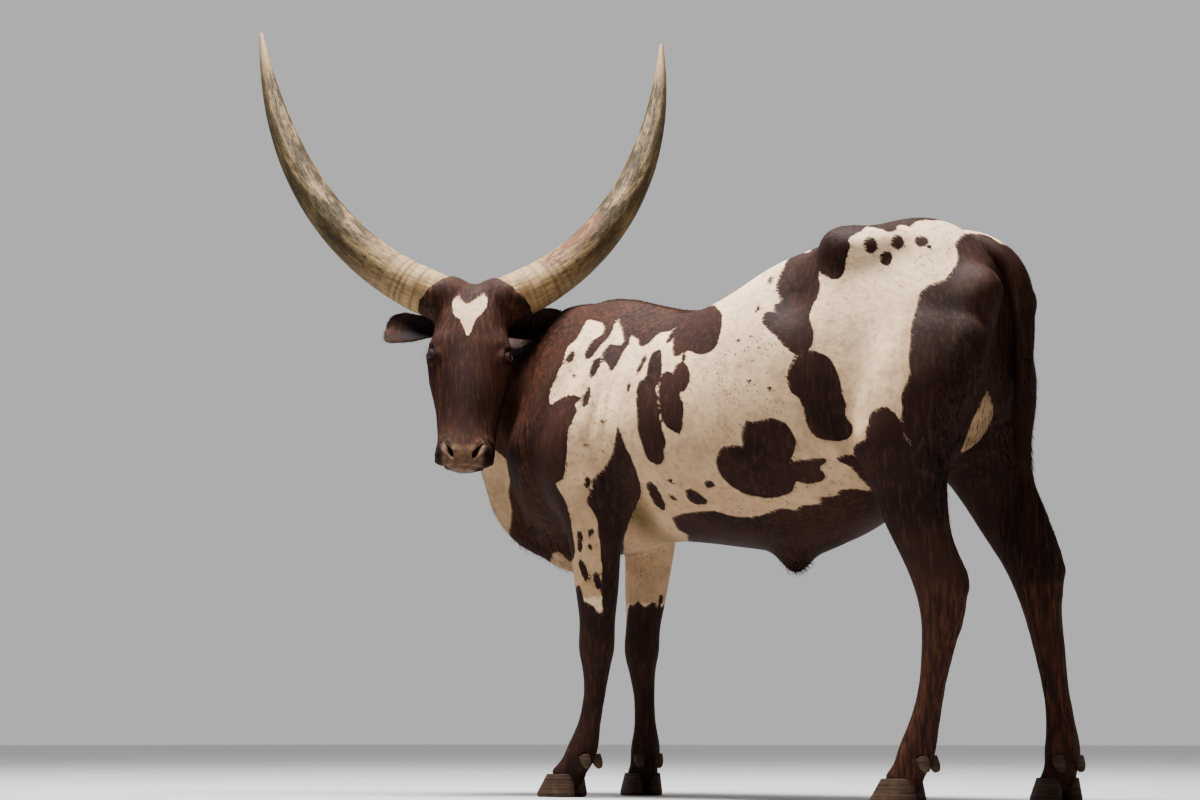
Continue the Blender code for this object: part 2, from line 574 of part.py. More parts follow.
def round_tube(name, stations, points=10, steps=2):
    """A tube through (point, radius) stations."""
    places = np.array([point for point, _ in stations])
    rings = []
    for place, radius in smooth_rows([(i, r) for i, (_, r) in enumerate(stations)], steps):
        here, side, up = path_frame(places, place, Vector((0, 1, 0)))
        rings.append(ring(here, side, up, (radius,) * 2, (radius,) * 2, points=points))
    return loft(name, rings)


def foot_frame(leg):
    """(middle of the foot on the floor, forward direction, direction towards the other legs) of a foot."""
    pastern, foot = Vector(LEG_JOINTS[leg][5]), Vector(LEG_JOINTS[leg][6])
    ahead = ((foot - pastern) * Vector((1, 1, 0))).normalized()
    inwards = Vector((0, 0, 1)).cross(ahead) * (-1 if leg.endswith("left") else 1)
    return Vector((foot.x, foot.y, 0)), ahead, inwards


def claw(name, leg, side):
    """One of the two claws of a hoof: flat below, sloped in front."""
    middle, ahead, across = foot_frame(leg)
    rings = []
    for share, toe, heel, width in CLAW_SHAPE:
        half = width * CLAW_WIDTH / 2
        lift = Vector((0, 0, share * (HOOF_TOP - GAP)))
        centre = middle + ahead * (toe - heel) / 2 + lift + across * side * (CLAW_CLEFT / 2 + half)
        long = (toe + heel) / 2
        rings.append(ring(centre, across, ahead, (half, half), (long, long), (2.3, 1.9), 16))
    return loft(name, rings)


def dewclaw(name, leg, side):
    """A small blunt cone behind the fetlock."""
    _, ahead, across = foot_frame(leg)
    forwards, inwards, up = DEWCLAW_ROOT
    root = Vector(LEG_JOINTS[leg][5]) + ahead * forwards + across * side * inwards + Vector((0, 0, up))
    tip = root + ahead * DEWCLAW_REACH[0] + Vector((0, 0, DEWCLAW_REACH[1]))
    return round_tube(name, [(root.lerp(tip, share), radius) for share, radius in DEWCLAW_RADII], 6, 1)


def eyeball(name, side):
    bm = bmesh.new()
    bmesh.ops.create_uvsphere(bm, u_segments=12, v_segments=7, radius=EYE_RADIUS)
    bm.transform(head_matrix() @ Matrix.Diagonal((side, 1, 1, 1)) @ Matrix.Translation(EYE_CENTRE))
    return object_from(name, bm)


# ---- Parting ----


def stack(name, levels, matrix, margin=0.0):
    """A solid through rectangles at rising levels, wider by margin all round."""
    rings = []
    for i, (z, x_low, x_high, y_low, y_high) in enumerate(levels):
        z += margin * ((i == len(levels) - 1) - (i == 0))
        x_low, y_low, x_high, y_high = x_low - margin, y_low - margin, x_high + margin, y_high + margin
        rings.append([(x_low, y_low, z), (x_high, y_low, z), (x_high, y_high, z), (x_low, y_high, z)])
    return loft(name, rings, matrix)


def boolean(obj, operation, other):
    cut = obj.modifiers.new(operation.lower(), "BOOLEAN")
    cut.operation, cut.object, cut.solver = operation, other, "EXACT"
    return apply_modifiers(obj)


def keep_largest_body(obj):
    """Drops any crumb that a cut leaves loose."""
    bm = bmesh.new()
    bm.from_mesh(obj.data)
    left = set(bm.verts)
    bodies = []
    while left:
        body, border = set(), [left.pop()]
        while border:
            vert = border.pop()
            body.add(vert)
            near = {edge.other_vert(vert) for edge in vert.link_edges} & left
            left -= near
            border += near
        bodies.append(body)
    largest = max(bodies, key=len)
    bmesh.ops.delete(bm, geom=[v for v in bm.verts if v not in largest], context="VERTS")
    bm.to_mesh(obj.data)
    bm.free()


def copy_of(obj, name):
    return add_object(name, obj.data.copy())


def grow(obj, distance):
    """Moves the skin of an object out."""
    shell = obj.modifiers.new("grow", "DISPLACE")
    shell.mid_level, shell.strength = 0.0, distance
    return apply_modifiers(obj)


def thin_out(obj, triangles):
    """Collapses edges until about so many triangles are left, and leaves more of them on the head."""
    coarse = obj.vertex_groups.new(name="coarse")
    for index, share in enumerate(fineness(points_of(obj.data))):
        coarse.add([index], float(share), "REPLACE")
    decimate = obj.modifiers.new("thin", "DECIMATE")
    obj.data.calc_loop_triangles()
    decimate.ratio = triangles / len(obj.data.loop_triangles)
    decimate.vertex_group, decimate.vertex_group_factor = "coarse", 0.04
    decimate.use_collapse_triangulate = True
    apply_modifiers(obj)
    obj.vertex_groups.clear()


def regions():
    """The cutters that part the flesh, by node name: (levels, matrix)."""
    neck_root = Matrix.Translation(NECK_ROOT) @ Matrix.Rotation(math.radians(NECK_TILT), 4, "Y")
    made = {"head": (HEAD_CUT, head_matrix()), "neck": (NECK_CUT, neck_root)}
    for name, side in (("left", -1), ("right", 1)):
        for leg, (front, rear, inner, outer, top) in LEG_CUTS.items():
            near, far = sorted((side * inner, side * outer))
            made[f"{leg}_{name}"] = ([(z, front, rear, near, far) for z in (HOOF_TOP, top)], None)
    return made


def part_flesh(flesh):
    """Cuts head, neck and legs from the flesh, with GAP between; what is left is the trunk."""
    nodes = {"trunk": flesh}
    for name, (levels, matrix) in regions().items():
        nodes[name] = copy_of(flesh, name)
        cutter = stack("cutter", levels, matrix)
        boolean(nodes[name], "INTERSECT", cutter)
        keep_largest_body(nodes[name])
        wide = stack("wide", levels, matrix, GAP)
        boolean(flesh, "DIFFERENCE", wide)
        bpy.data.objects.remove(cutter)
        bpy.data.objects.remove(wide)
    keep_largest_body(flesh)
    flesh.name = "trunk"
    return nodes


def material(name):
    colour, roughness = COLOURS[name]
    made = bpy.data.materials.get(name) or bpy.data.materials.new(name)
    made.use_nodes = True
    shader = made.node_tree.nodes["Principled BSDF"]
    shader.inputs["Base Color"].default_value = (*colour, 1.0)
    shader.inputs["Roughness"].default_value = roughness
    shader.inputs["Metallic"].default_value = 0.0
    return made


def finish_object(obj, colour):
    obj.data.materials.clear()
    obj.data.materials.append(material(colour))
    obj.data.shade_smooth()
    obj.data.set_sharp_from_angle(angle=math.radians(40))
    obj.location = MODEL_SHIFT


def build():
    clear_scene()
    flesh = grow(fused_flesh(), COAT_DEPTH)
    thin_out(flesh, FLESH_TRIANGLES)
    sides = (("left", 1), ("right", -1))
    claws = (("inner", 1), ("outer", -1))

    colours = {"tail": "brown_coat"}
    grafts = [round_tube("tail", TAIL)]
    for name, side in sides:
        colours[f"ear_{name}"] = "brown_coat"
        colours[f"horn_{name}"] = "horn"
        grafts += [ear(f"ear_{name}", side), horn(f"horn_{name}", side)]
    for leg in LEG_JOINTS:
        for name, side in claws:
            colours[f"dewclaw_{leg}_{name}"] = "hoof"
            grafts.append(dewclaw(f"dewclaw_{leg}_{name}", leg, side))
    larger = grow(copy_of(flesh, "larger"), GAP)
    for graft in grafts:
        boolean(graft, "DIFFERENCE", larger)
        keep_largest_body(graft)
    bpy.data.objects.remove(larger)

    nodes = part_flesh(flesh)
    colours.update({name: "cream_coat" if name == "trunk" else "brown_coat" for name in nodes})
    for name, side in sides:
        colours[eyeball(f"eye_{name}", side).name] = "eye"
        socket = grow(copy_of(bpy.data.objects[f"eye_{name}"], "socket"), GAP)
        boolean(nodes["head"], "DIFFERENCE", socket)
        bpy.data.objects.remove(socket)
    colours[round_tube("tail_switch", SWITCH).name] = "brown_coat"
    for leg in LEG_JOINTS:
        for name, side in claws:
            colours[claw(f"hoof_{leg}_{name}", leg, side).name] = "hoof"
    for name, colour in colours.items():
        finish_object(bpy.data.objects[name], colour)


if __name__ == "__main__":
    build()
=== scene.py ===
"""The looks of a life-size Ankole-Watusi bull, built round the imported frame.

One skin replaces the solids of flesh: lofts like those of the solids are fused, relaxed and swelled,
refined on head and feet, shaped round eyes, nostrils and mouth, and joined with ears and tail.  Short
hair is a coat of small solid locks over that skin.  Horns, hooves, dewclaws, eyes and the tail's switch
are pieces of their own.  Everything is modelled where the design tables below say, and moved at the
end to where the frame has it.

Design frame, in metres: -X towards the front of the trunk, -Y to the bull's left, +Z up.
Head space: the face looks along -Y, the bull's left is +X, the nose hangs along -Z from the poll.
"""

import json
import math

import bmesh
import bpy
import numpy as np
from mathutils import Euler, Matrix, Vector

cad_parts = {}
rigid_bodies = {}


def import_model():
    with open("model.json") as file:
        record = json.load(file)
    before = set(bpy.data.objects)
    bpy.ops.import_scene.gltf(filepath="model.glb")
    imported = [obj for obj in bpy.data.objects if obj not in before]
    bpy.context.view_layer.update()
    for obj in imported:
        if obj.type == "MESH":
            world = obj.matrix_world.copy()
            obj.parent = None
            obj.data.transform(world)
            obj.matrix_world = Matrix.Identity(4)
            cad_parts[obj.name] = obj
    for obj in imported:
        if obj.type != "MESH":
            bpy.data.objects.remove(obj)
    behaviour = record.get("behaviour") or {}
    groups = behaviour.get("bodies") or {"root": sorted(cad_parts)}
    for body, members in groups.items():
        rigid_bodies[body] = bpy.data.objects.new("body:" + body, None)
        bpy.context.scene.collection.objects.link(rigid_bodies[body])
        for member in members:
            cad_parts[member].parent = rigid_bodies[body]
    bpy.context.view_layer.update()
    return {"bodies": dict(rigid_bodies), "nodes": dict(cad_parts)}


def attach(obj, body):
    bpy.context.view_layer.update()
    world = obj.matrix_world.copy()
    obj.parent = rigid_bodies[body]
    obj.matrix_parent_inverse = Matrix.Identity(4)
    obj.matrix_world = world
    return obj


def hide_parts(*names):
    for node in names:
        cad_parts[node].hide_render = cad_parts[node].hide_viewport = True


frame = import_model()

# ---- Camera, head, horns and eyes ----
CAMERA_PLACE = (3.0, -4.2, 0.14)  # in the design frame
CAMERA_TURN, CAMERA_RISE = 39.66, 9.36  # degrees to the left of +Y, and up
CAMERA_LENS, SENSOR = 62.1, 36  # mm
CAMERA_REACH = 200
PHOTO_WIDTH, PHOTO_HEIGHT = 1200, 800

VOXEL = 0.0106  # fineness of the fused flesh
RELAX_ROUNDS = 25
DETAIL_SWING, GRAFT_SWING = 0.52, 0.45  # how much of each round's shrinking is given back
SEED = 7
SIDES = (("left", 1), ("right", -1))  # with the sign of x in head space
FAR = 9.0  # more than any distance or place here

HEAD_POLL = (-0.755, -0.205, 1.350)
HEAD_TURN, HEAD_NOD, HEAD_TILT = 41.0, 12.0, 2.2  # degrees

HORN_ROOT = (0.058, 0.020, -0.034)
HORN_FLATTEN = 0.94
HORN_SWEEP = 0.05  # metres by which the tip lies behind the root
# length, its rise at root and tip in degrees, and how early it turns from one to the other
HORNS = {"left": (1.03, 20.1, 91.1, 0.62), "right": (1.085, 15.4, 78.4, 0.70)}
# (share of the length, radius)
HORN_RADII = [(0.0, 0.058), (0.05, 0.063), (0.09, 0.064), (0.17, 0.06), (0.3, 0.055), (0.45, 0.049),
    (0.6, 0.041), (0.75, 0.03), (0.9, 0.016), (1.0, 0.004)]

EYE_CENTRE = (0.0925, -0.014, -0.211)
EYE_RADIUS, EYE_BULGE = 0.0200, 0.0012

# ---- Flesh: (x, top z, bottom z, half width, z of the greatest width, power above, power below) ----
TRUNK = [(-0.735, 1.0, 0.79, 0.075, 0.9, 2.0, 2.0), (-0.69, 1.09, 0.7, 0.13, 0.89, 2.0, 2.0),
    (-0.6, 1.232, 0.65, 0.178, 0.9, 1.8, 2.0), (-0.49, 1.3, 0.64, 0.205, 0.92, 1.5, 2.0),
    (-0.38, 1.303, 0.618, 0.22, 0.93, 1.4, 2.0), (-0.26, 1.27, 0.645, 0.236, 0.93, 1.5, 2.1),
    (-0.13, 1.237, 0.634, 0.252, 0.92, 1.7, 2.2), (0.01, 1.266, 0.612, 0.266, 0.92, 1.9, 2.2),
    (0.15, 1.321, 0.596, 0.27, 0.93, 2.0, 2.2), (0.29, 1.346, 0.62, 0.254, 0.955, 2.2, 2.1),
    (0.41, 1.362, 0.678, 0.232, 1.0, 2.5, 2.0), (0.53, 1.376, 0.774, 0.212, 1.04, 2.2, 2.0),
    (0.62, 1.34, 0.8, 0.18, 1.06, 1.8, 2.0), (0.69, 1.272, 0.88, 0.13, 1.08, 1.8, 2.0),
    (0.73, 1.21, 0.98, 0.07, 1.09, 2.0, 2.0)]
# (centre, radii, turn in degrees) on the bull's right
HIP_BONES = [((0.445, 0.105, 1.284), (0.125, 0.115, 0.062), (-8, 0, 14)),
    ((0.692, 0.078, 1.125), (0.07, 0.052, 0.105), (0, 20, 0))]
PEDICLE = ((0.066, 0.020, -0.038), (0.062, 0.066, 0.066), (0, 0, 0))
# The skin round a horn's root: (centre, radius)
COLLAR = [((0.045, 0.020, -0.040), 0.064), ((0.085, 0.020, -0.023), 0.067), ((0.110, 0.021, -0.012), 0.067)]
COLLAR_RISE, COLLAR_SLANT = 22.0, 0.55  # degrees above level, and the slant of the collar's end
# (centre, half height, half width)
NECK = [((-0.47, 0.0, 1.0), 0.28, 0.165), ((-0.59, 0.0, 1.036), 0.282, 0.138),
    ((-0.7, -0.012, 1.058), 0.242, 0.116), ((-0.792, -0.042, 1.096), 0.206, 0.101),
    ((-0.832, -0.105, 1.134), 0.171, 0.095), ((-0.815, -0.165, 1.173), 0.153, 0.093),
    ((-0.78, -0.205, 1.195), 0.12, 0.085)]
# (x, y, top z, bottom z, half thickness)
DEWLAP = [(-0.885, -0.052, 1.08, 0.935, 0.024), (-0.87, -0.04, 1.05, 0.845, 0.03),
    (-0.835, -0.03, 1.0, 0.742, 0.036), (-0.77, -0.018, 0.95, 0.665, 0.044),
    (-0.69, -0.008, 0.9, 0.625, 0.052), (-0.6, 0.0, 0.85, 0.582, 0.05), (-0.52, 0.0, 0.8, 0.578, 0.04),
    (-0.43, 0.0, 0.76, 0.61, 0.03)]
# (z, front y, back y, half width, y of the greatest width, power in front, behind), in head space
HEAD = [(0.006, -0.004, 0.062, 0.058, 0.025, 2.0, 2.0), (-0.018, -0.032, 0.105, 0.088, 0.025, 2.2, 2.0),
    (-0.06, -0.049, 0.138, 0.099, 0.025, 2.5, 2.0), (-0.12, -0.056, 0.158, 0.1, 0.025, 2.7, 2.1),
    (-0.2, -0.058, 0.172, 0.1, 0.03, 2.6, 2.3), (-0.28, -0.056, 0.17, 0.096, 0.04, 2.3, 2.5),
    (-0.34, -0.053, 0.148, 0.09, 0.04, 2.2, 2.5), (-0.39, -0.05, 0.115, 0.08, 0.03, 2.2, 2.4),
    (-0.43, -0.05, 0.097, 0.073, 0.022, 2.3, 2.3), (-0.465, -0.054, 0.09, 0.073, 0.012, 2.7, 2.3),
    (-0.492, -0.055, 0.08, 0.072, 0.004, 3.0, 2.3), (-0.508, -0.052, 0.056, 0.067, -0.004, 3.0, 2.2),
    (-0.524, -0.043, 0.022, 0.046, -0.01, 2.6, 2.0), (-0.536, -0.028, -0.004, 0.024, -0.015, 2.0, 2.0)]
LEG_JOINTS = {
    "fore_left": [(-0.45, -0.15, 0.9), (-0.376, -0.16, 0.715), (-0.384, -0.13, 0.52),
        (-0.398, -0.115, 0.372), (-0.406, -0.115, 0.25), (-0.444, -0.115, 0.12), (-0.5, -0.12, 0.04)],
    "fore_right": [(-0.47, 0.15, 0.9), (-0.44, 0.16, 0.715), (-0.432, 0.13, 0.52), (-0.434, 0.115, 0.372),
        (-0.426, 0.115, 0.25), (-0.424, 0.117, 0.12), (-0.448, 0.132, 0.04)],
    "hind_left": [(0.6, -0.11, 1.08), (0.572, -0.165, 0.88), (0.565, -0.172, 0.69), (0.628, -0.15, 0.465),
        (0.604, -0.15, 0.27), (0.56, -0.15, 0.12), (0.518, -0.154, 0.04)],
    "hind_right": [(0.575, 0.105, 1.08), (0.57, 0.15, 0.88), (0.61, 0.166, 0.7), (0.706, 0.15, 0.508),
        (0.748, 0.15, 0.27), (0.76, 0.152, 0.12), (0.736, 0.166, 0.04)],
}
# (place along the joints, half depth fore and aft, half width)
FORE_PROFILE = [(0.0, 0.12, 0.07), (0.6, 0.108, 0.07), (1.0, 0.088, 0.062), (1.5, 0.074, 0.055),
    (2.0, 0.062, 0.049), (2.5, 0.049, 0.043), (3.0, 0.048, 0.046), (3.4, 0.036, 0.037),
    (4.0, 0.0295, 0.0285), (4.5, 0.031, 0.03), (4.85, 0.038, 0.038), (5.1, 0.04, 0.041), (5.5, 0.036, 0.04),
    (6.0, 0.046, 0.048)]
HIND_PROFILE = [(0.0, 0.145, 0.08), (0.5, 0.155, 0.092), (1.0, 0.14, 0.084), (1.5, 0.112, 0.072),
    (2.0, 0.084, 0.054), (2.5, 0.067, 0.044), (3.0, 0.056, 0.043), (3.35, 0.045, 0.038), (4.0, 0.032, 0.03),
    (4.5, 0.035, 0.032), (4.85, 0.04, 0.04), (5.1, 0.042, 0.043), (5.5, 0.037, 0.041), (6.0, 0.047, 0.049)]
TENDON_PROFILE = [(0.0, 0.015, 0.018), (1.0, 0.024, 0.023), (2.0, 0.022, 0.018), (3.0, 0.045, 0.034)]
CORD_PROFILE = [(0.0, 0.02, 0.02), (1.0, 0.022, 0.022), (2.0, 0.018, 0.018)]
TENDON_BACK = {"hind_left": (0.072, 0.034), "hind_right": (0.040, 0.044)}  # behind the stifle and the hock
HEEL = (0.057, 0.004, 0.030)  # the point of the hock, from the hock's joint

# ---- Bones, muscles and hollows: (centre, radii, turn in degrees, how far the skin moves out) ----
BODY_SWELLS = {
    "withers": ((-0.44, 0.0, 1.3), (0.15, 0.07, 0.06), (0, 4, 0), 0.006),
    "scapula_ridge": ((-0.47, 0.17, 1.11), (0.04, 0.1, 0.17), (0, 28, 0), 0.012),
    "scapula_back": ((-0.365, 0.18, 1.08), (0.045, 0.1, 0.15), (0, 8, 0), 0.01),
    "triceps": ((-0.4, 0.2, 0.9), (0.105, 0.09, 0.12), (0, -30, 0), 0.03),
    "shoulder_point": ((-0.62, 0.16, 0.905), (0.08, 0.08, 0.09), (0, 0, 0), 0.026),
    "behind_shoulder": ((-0.275, 0.23, 0.99), (0.045, 0.12, 0.21), (0, 6, 0), -0.014),
    "elbow": ((-0.33, 0.19, 0.77), (0.05, 0.06, 0.05), (0, 0, 0), 0.016),
    "armpit": ((-0.225, 0.2, 0.73), (0.06, 0.1, 0.06), (0, 0, 0), -0.014),
    "flank_hollow": ((0.285, 0.21, 1.18), (0.085, 0.1, 0.075), (0, 25, 0), -0.026),
    "loin_edge": ((0.25, 0.17, 1.285), (0.15, 0.06, 0.022), (0, -5, 0), 0.008),
    "hook": ((0.383, 0.18, 1.316), (0.062, 0.085, 0.075), (0, 0, 0), 0.026),
    "rump_slope": ((0.6, 0.15, 1.235), (0.12, 0.08, 0.055), (0, 24, 0), -0.008),
    "hip_joint": ((0.6, 0.2, 1.09), (0.09, 0.08, 0.09), (0, 0, 0), 0.014),
    "pin": ((0.76, 0.095, 1.16), (0.045, 0.05, 0.05), (0, 0, 0), 0.01),
    "between_pins": ((0.73, 0.0, 1.12), (0.05, 0.04, 0.15), (0, 10, 0), -0.016),
    "thigh": ((0.59, 0.23, 0.95), (0.13, 0.1, 0.14), (0, 10, 0), 0.016),
    "buttock": ((0.715, 0.12, 0.98), (0.06, 0.08, 0.15), (0, 8, 0), 0.012),
    "stifle": ((0.5, 0.21, 0.81), (0.055, 0.07, 0.06), (0, 0, 0), 0.02),
    "flank_fold": ((0.42, 0.18, 0.765), (0.06, 0.07, 0.09), (0, -35, 0), 0.007),
    "sheath": ((0.138, 0.0, 0.59), (0.044, 0.042, 0.06), (0, 0, 0), 0.052),
    "sheath_fold": ((0.215, 0.0, 0.59), (0.1, 0.04, 0.06), (0, 0, 0), 0.014),
}
HEAD_SWELLS = {
    "poll": ((0.0, 0.015, 0.0), (0.055, 0.06, 0.035), (0, 0, 0), 0.004),
    "horn_boss": ((0.1, 0.02, -0.04), (0.045, 0.05, 0.04), (0, 0, 0), 0.014),
    "brow": ((0.086, -0.035, -0.176), (0.03, 0.04, 0.028), (0, 0, 0), 0.011),
    "orbit": ((0.1, 0.002, -0.209), (0.04, 0.06, 0.058), (0, 0, 0), 0.0135),
    "behind_ear": ((0.17, 0.115, -0.125), (0.065, 0.05, 0.06), (0, 0, 0), -0.034),
    "temple": ((0.105, 0.05, -0.13), (0.04, 0.045, 0.03), (0, 0, 0), -0.004),
    "cheek": ((0.1, 0.11, -0.22), (0.05, 0.07, 0.085), (0, 0, 0), 0.012),
    "cheekbone": ((0.092, 0.01, -0.275), (0.03, 0.03, 0.06), (16, 0, 0), 0.007),
    "below_cheekbone": ((0.09, 0.05, -0.36), (0.04, 0.035, 0.06), (16, 0, 0), -0.008),
    "bridge": ((0.0, -0.06, -0.34), (0.032, 0.04, 0.11), (0, 0, 0), 0.005),
    "bridge_side": ((0.056, -0.045, -0.385), (0.022, 0.035, 0.05), (0, 0, 0), -0.005),
    "nostril_wing": ((0.06, -0.032, -0.484), (0.022, 0.03, 0.03), (0, 0, 0), 0.007),
    "upper_lip": ((0.068, 0.0, -0.505), (0.022, 0.04, 0.02), (0, 0, 0), 0.007),
    "mouth_corner": ((0.074, 0.05, -0.48), (0.026, 0.03, 0.024), (0, 0, 0), 0.005),
}

# ---- Ears: (share of the length, width towards the head's top, width below, depth of the cup) ----
EAR_ROOT = (0.072, 0.106, -0.084)
EAR_TURNS = {"left": (-8.0, -6.5, -22.0), "right": (-8.0, -8.0, 14.0)}  # degrees
EAR_LENGTH = 0.182
EAR_SHAPE = [(0.0, 0.024, 0.026, 0.012), (0.2, 0.027, 0.036, 0.02), (0.45, 0.032, 0.051, 0.02),
    (0.7, 0.042, 0.053, 0.015), (0.86, 0.041, 0.05, 0.01), (0.95, 0.034, 0.04, 0.006),
    (0.99, 0.016, 0.018, 0.003), (1.0, 0.005, 0.006, 0.001)]
EAR_THICKNESS = 0.0046

# ---- Tail: (point, radius), then the switch of long hair ----
TAIL = [((0.59, 0.02, 1.308), 0.032), ((0.662, 0.028, 1.289), 0.03), ((0.722, 0.036, 1.243), 0.028),
    ((0.752, 0.042, 1.176), 0.026), ((0.757, 0.044, 1.08), 0.023), ((0.748, 0.046, 0.97), 0.02),
    ((0.742, 0.048, 0.85), 0.017), ((0.744, 0.05, 0.735), 0.013), ((0.745, 0.05, 0.7), 0.006)]
SWITCH = [((0.745, 0.05, 0.76), 0.014), ((0.748, 0.05, 0.69), 0.022), ((0.747, 0.05, 0.63), 0.025),
    ((0.748, 0.05, 0.58), 0.019), ((0.751, 0.05, 0.53), 0.006)]


TAIL_PATH, TAIL_RADII = [point for point, _ in TAIL], [radius for _, radius in TAIL]


def clear_default_scene():
    keep = set(frame["nodes"].values()) | set(frame["bodies"].values())
    for obj in list(bpy.data.objects):
        if obj not in keep:
            bpy.data.objects.remove(obj)


def add_object(name, mesh):
    obj = bpy.data.objects.new(name, mesh)
    bpy.context.scene.collection.objects.link(obj)
    return obj


def object_from(name, bm):
    bm.normal_update()
    bmesh.ops.recalc_face_normals(bm, faces=bm.faces)
    mesh = bpy.data.meshes.new(name)
    bm.to_mesh(mesh)
    bm.free()
    return add_object(name, mesh)


def mesh_from(name, points, faces):
    """A mesh from arrays; all faces have the same number of corners."""
    mesh = bpy.data.meshes.new(name)
    corners = faces.shape[1]
    mesh.vertices.add(len(points))
    mesh.vertices.foreach_set("co", np.ascontiguousarray(points, np.float32).ravel())
    mesh.loops.add(faces.size)
    mesh.loops.foreach_set("vertex_index", np.ascontiguousarray(faces, np.int32).ravel())
    mesh.polygons.add(len(faces))
    mesh.polygons.foreach_set("loop_start", np.arange(0, faces.size, corners, dtype=np.int32))
    mesh.update(calc_edges=True)
    return mesh


# ---- Lofts ----
X_AXIS, Y_AXIS, Z_AXIS = Vector((1, 0, 0)), Vector((0, 1, 0)), Vector((0, 0, 1))


def pair(value):
    return value if isinstance(value, tuple) else (value, value)


def ring(centre, side, up, widths, heights, powers=(2.0, 2.0), points=28):
    """A closed section; widths and heights may be pairs: towards minus and plus side or up."""
    widths, heights = pair(widths), pair(heights)
    made = []
    for i in range(points):
        angle = 2 * math.pi * i / points
        c, s = math.cos(angle), math.sin(angle)
        power = 2.0 / powers[s > 0]
        across = math.copysign(abs(c) ** power, c) * widths[c > 0]
        along = math.copysign(abs(s) ** power, s) * heights[s > 0]
        made.append(centre + side * across + up * along)
    return made


def loft(name, rings, matrix=None):
    """One closed mesh through the rings, with flat ends."""
    bm = bmesh.new()
    loops = [[bm.verts.new(p) for p in points] for points in rings]
    for lower, upper in zip(loops, loops[1:]):
        for i in range(len(lower)):
            j = (i + 1) % len(lower)
            bm.faces.new((lower[i], lower[j], upper[j], upper[i]))
    bm.faces.new(loops[0][::-1])
    bm.faces.new(loops[-1])
    if matrix is not None:
        bm.transform(matrix)
    return object_from(name, bm)


def along_curve(rows, place):
    """The row at place on a Catmull-Rom curve through the rows: 2.5 is halfway from rows[2] to rows[3]."""
    i = min(int(place), len(rows) - 2)
    p0, p1, p2, p3 = (rows[min(max(k, 0), len(rows) - 1)] for k in range(i - 1, i + 3))
    t = place - i
    bend = 2 * p0 - 5 * p1 + 4 * p2 - p3 + t * (3 * p1 - p0 - 3 * p2 + p3)
    return p1 + 0.5 * t * (p2 - p0 + t * bend)


def smooth_rows(rows, steps):
    """The rows with steps - 1 smooth ones put between each two."""
    rows = np.array(rows, float)
    return [along_curve(rows, k / steps) for k in range((len(rows) - 1) * steps + 1)]


def path_frame(points, place, side_hint):
    """(point, side, up) on the path, with side as near side_hint as it can be."""
    here = Vector(along_curve(points, place))
    ahead = Vector(along_curve(points, min(place + 0.02, len(points) - 1)))
    behind = Vector(along_curve(points, max(place - 0.02, 0)))
    direction = (ahead - behind).normalized()
    up = side_hint.cross(direction).normalized()
    return here, direction.cross(up).normalized(), up


def limb(name, joints, profile):
    """A tube of rounded sections along the joints."""
    joints = np.array(joints, float)
    rings = []
    for place, half_depth, half_width in smooth_rows(profile, 3):
        here, side, fore = path_frame(joints, min(place, len(joints) - 1), Y_AXIS)
        rings.append(ring(here, side, fore, half_width, half_depth, points=24))
    return loft(name, rings)


def round_tube(name, stations, points, steps):
    """A tube through (point, radius) stations."""
    places = np.array([point for point, _ in stations])
    rings = []
    for place, radius in smooth_rows([(i, r) for i, (_, r) in enumerate(stations)], steps):
        here, side, up = path_frame(places, place, Y_AXIS)
        rings.append(ring(here, side, up, radius, radius, points=points))
    return loft(name, rings)


def turned(degrees):
    return Euler([math.radians(angle) for angle in degrees]).to_matrix()


def mirrored(side):
    return Matrix.Diagonal((side, 1, 1, 1))


def head_matrix():
    """From head space to the design frame."""
    turn = Euler((math.radians(-HEAD_NOD), math.radians(HEAD_TILT), 0)).to_matrix().to_4x4()
    return Matrix.Translation(HEAD_POLL) @ Matrix.Rotation(math.radians(HEAD_TURN), 4, "Z") @ turn


def ellipsoid(name, centre, radii, turn):
    bm = bmesh.new()
    bmesh.ops.create_uvsphere(bm, u_segments=24, v_segments=12, radius=1.0)
    bm.transform(Matrix.Translation(centre) @ turned(turn).to_4x4() @ Matrix.Diagonal((*radii, 1.0)))
    return object_from(name, bm)


def collar(side):
    """The skin round a horn's root, in sections across the horn."""
    rise = math.radians(COLLAR_RISE)
    along, up = Vector((math.cos(rise), 0, math.sin(rise))), Vector((-math.sin(rise), 0, math.cos(rise)))
    rings = []
    for i, (centre, radius) in enumerate(COLLAR):
        leaning = up - along * (COLLAR_SLANT * i / (len(COLLAR) - 1))
        rings.append(ring(Vector(centre), Y_AXIS, leaning, radius, radius))
    return loft("collar", rings, head_matrix() @ mirrored(side))


def barrel():
    return loft("barrel", [
        ring(Vector((x, 0, z)), Y_AXIS, Z_AXIS, half_width, (z - low, top - z), (below, above), 40)
        for x, top, low, half_width, z, above, below in smooth_rows(TRUNK, 3)])


def skull():
    return loft("skull", [
        ring(Vector((0, y, z)), X_AXIS, Y_AXIS, half_width, (y - front, back - y), (in_front, behind), 36)
        for z, front, back, half_width, y, in_front, behind in smooth_rows(HEAD, 3)], head_matrix())


def neck_core():
    joints = np.array([centre for centre, _, _ in NECK])
    rings = []
    sizes = [(i, height, width) for i, (_, height, width) in enumerate(NECK)]
    for place, half_height, half_width in smooth_rows(sizes, 3):
        here, up, side = path_frame(joints, place, Z_AXIS)
        rings.append(ring(here, side, up, half_width, half_height, (2.0, 1.7)))
    return loft("neck_core", rings)


def dewlap():
    return loft("dewlap", [
        ring(Vector((x, y, (top + low) / 2)), Y_AXIS, Z_AXIS, half, (top - low) / 2, (1.7, 2.0))
        for x, y, top, low, half in smooth_rows(DEWLAP, 3)])


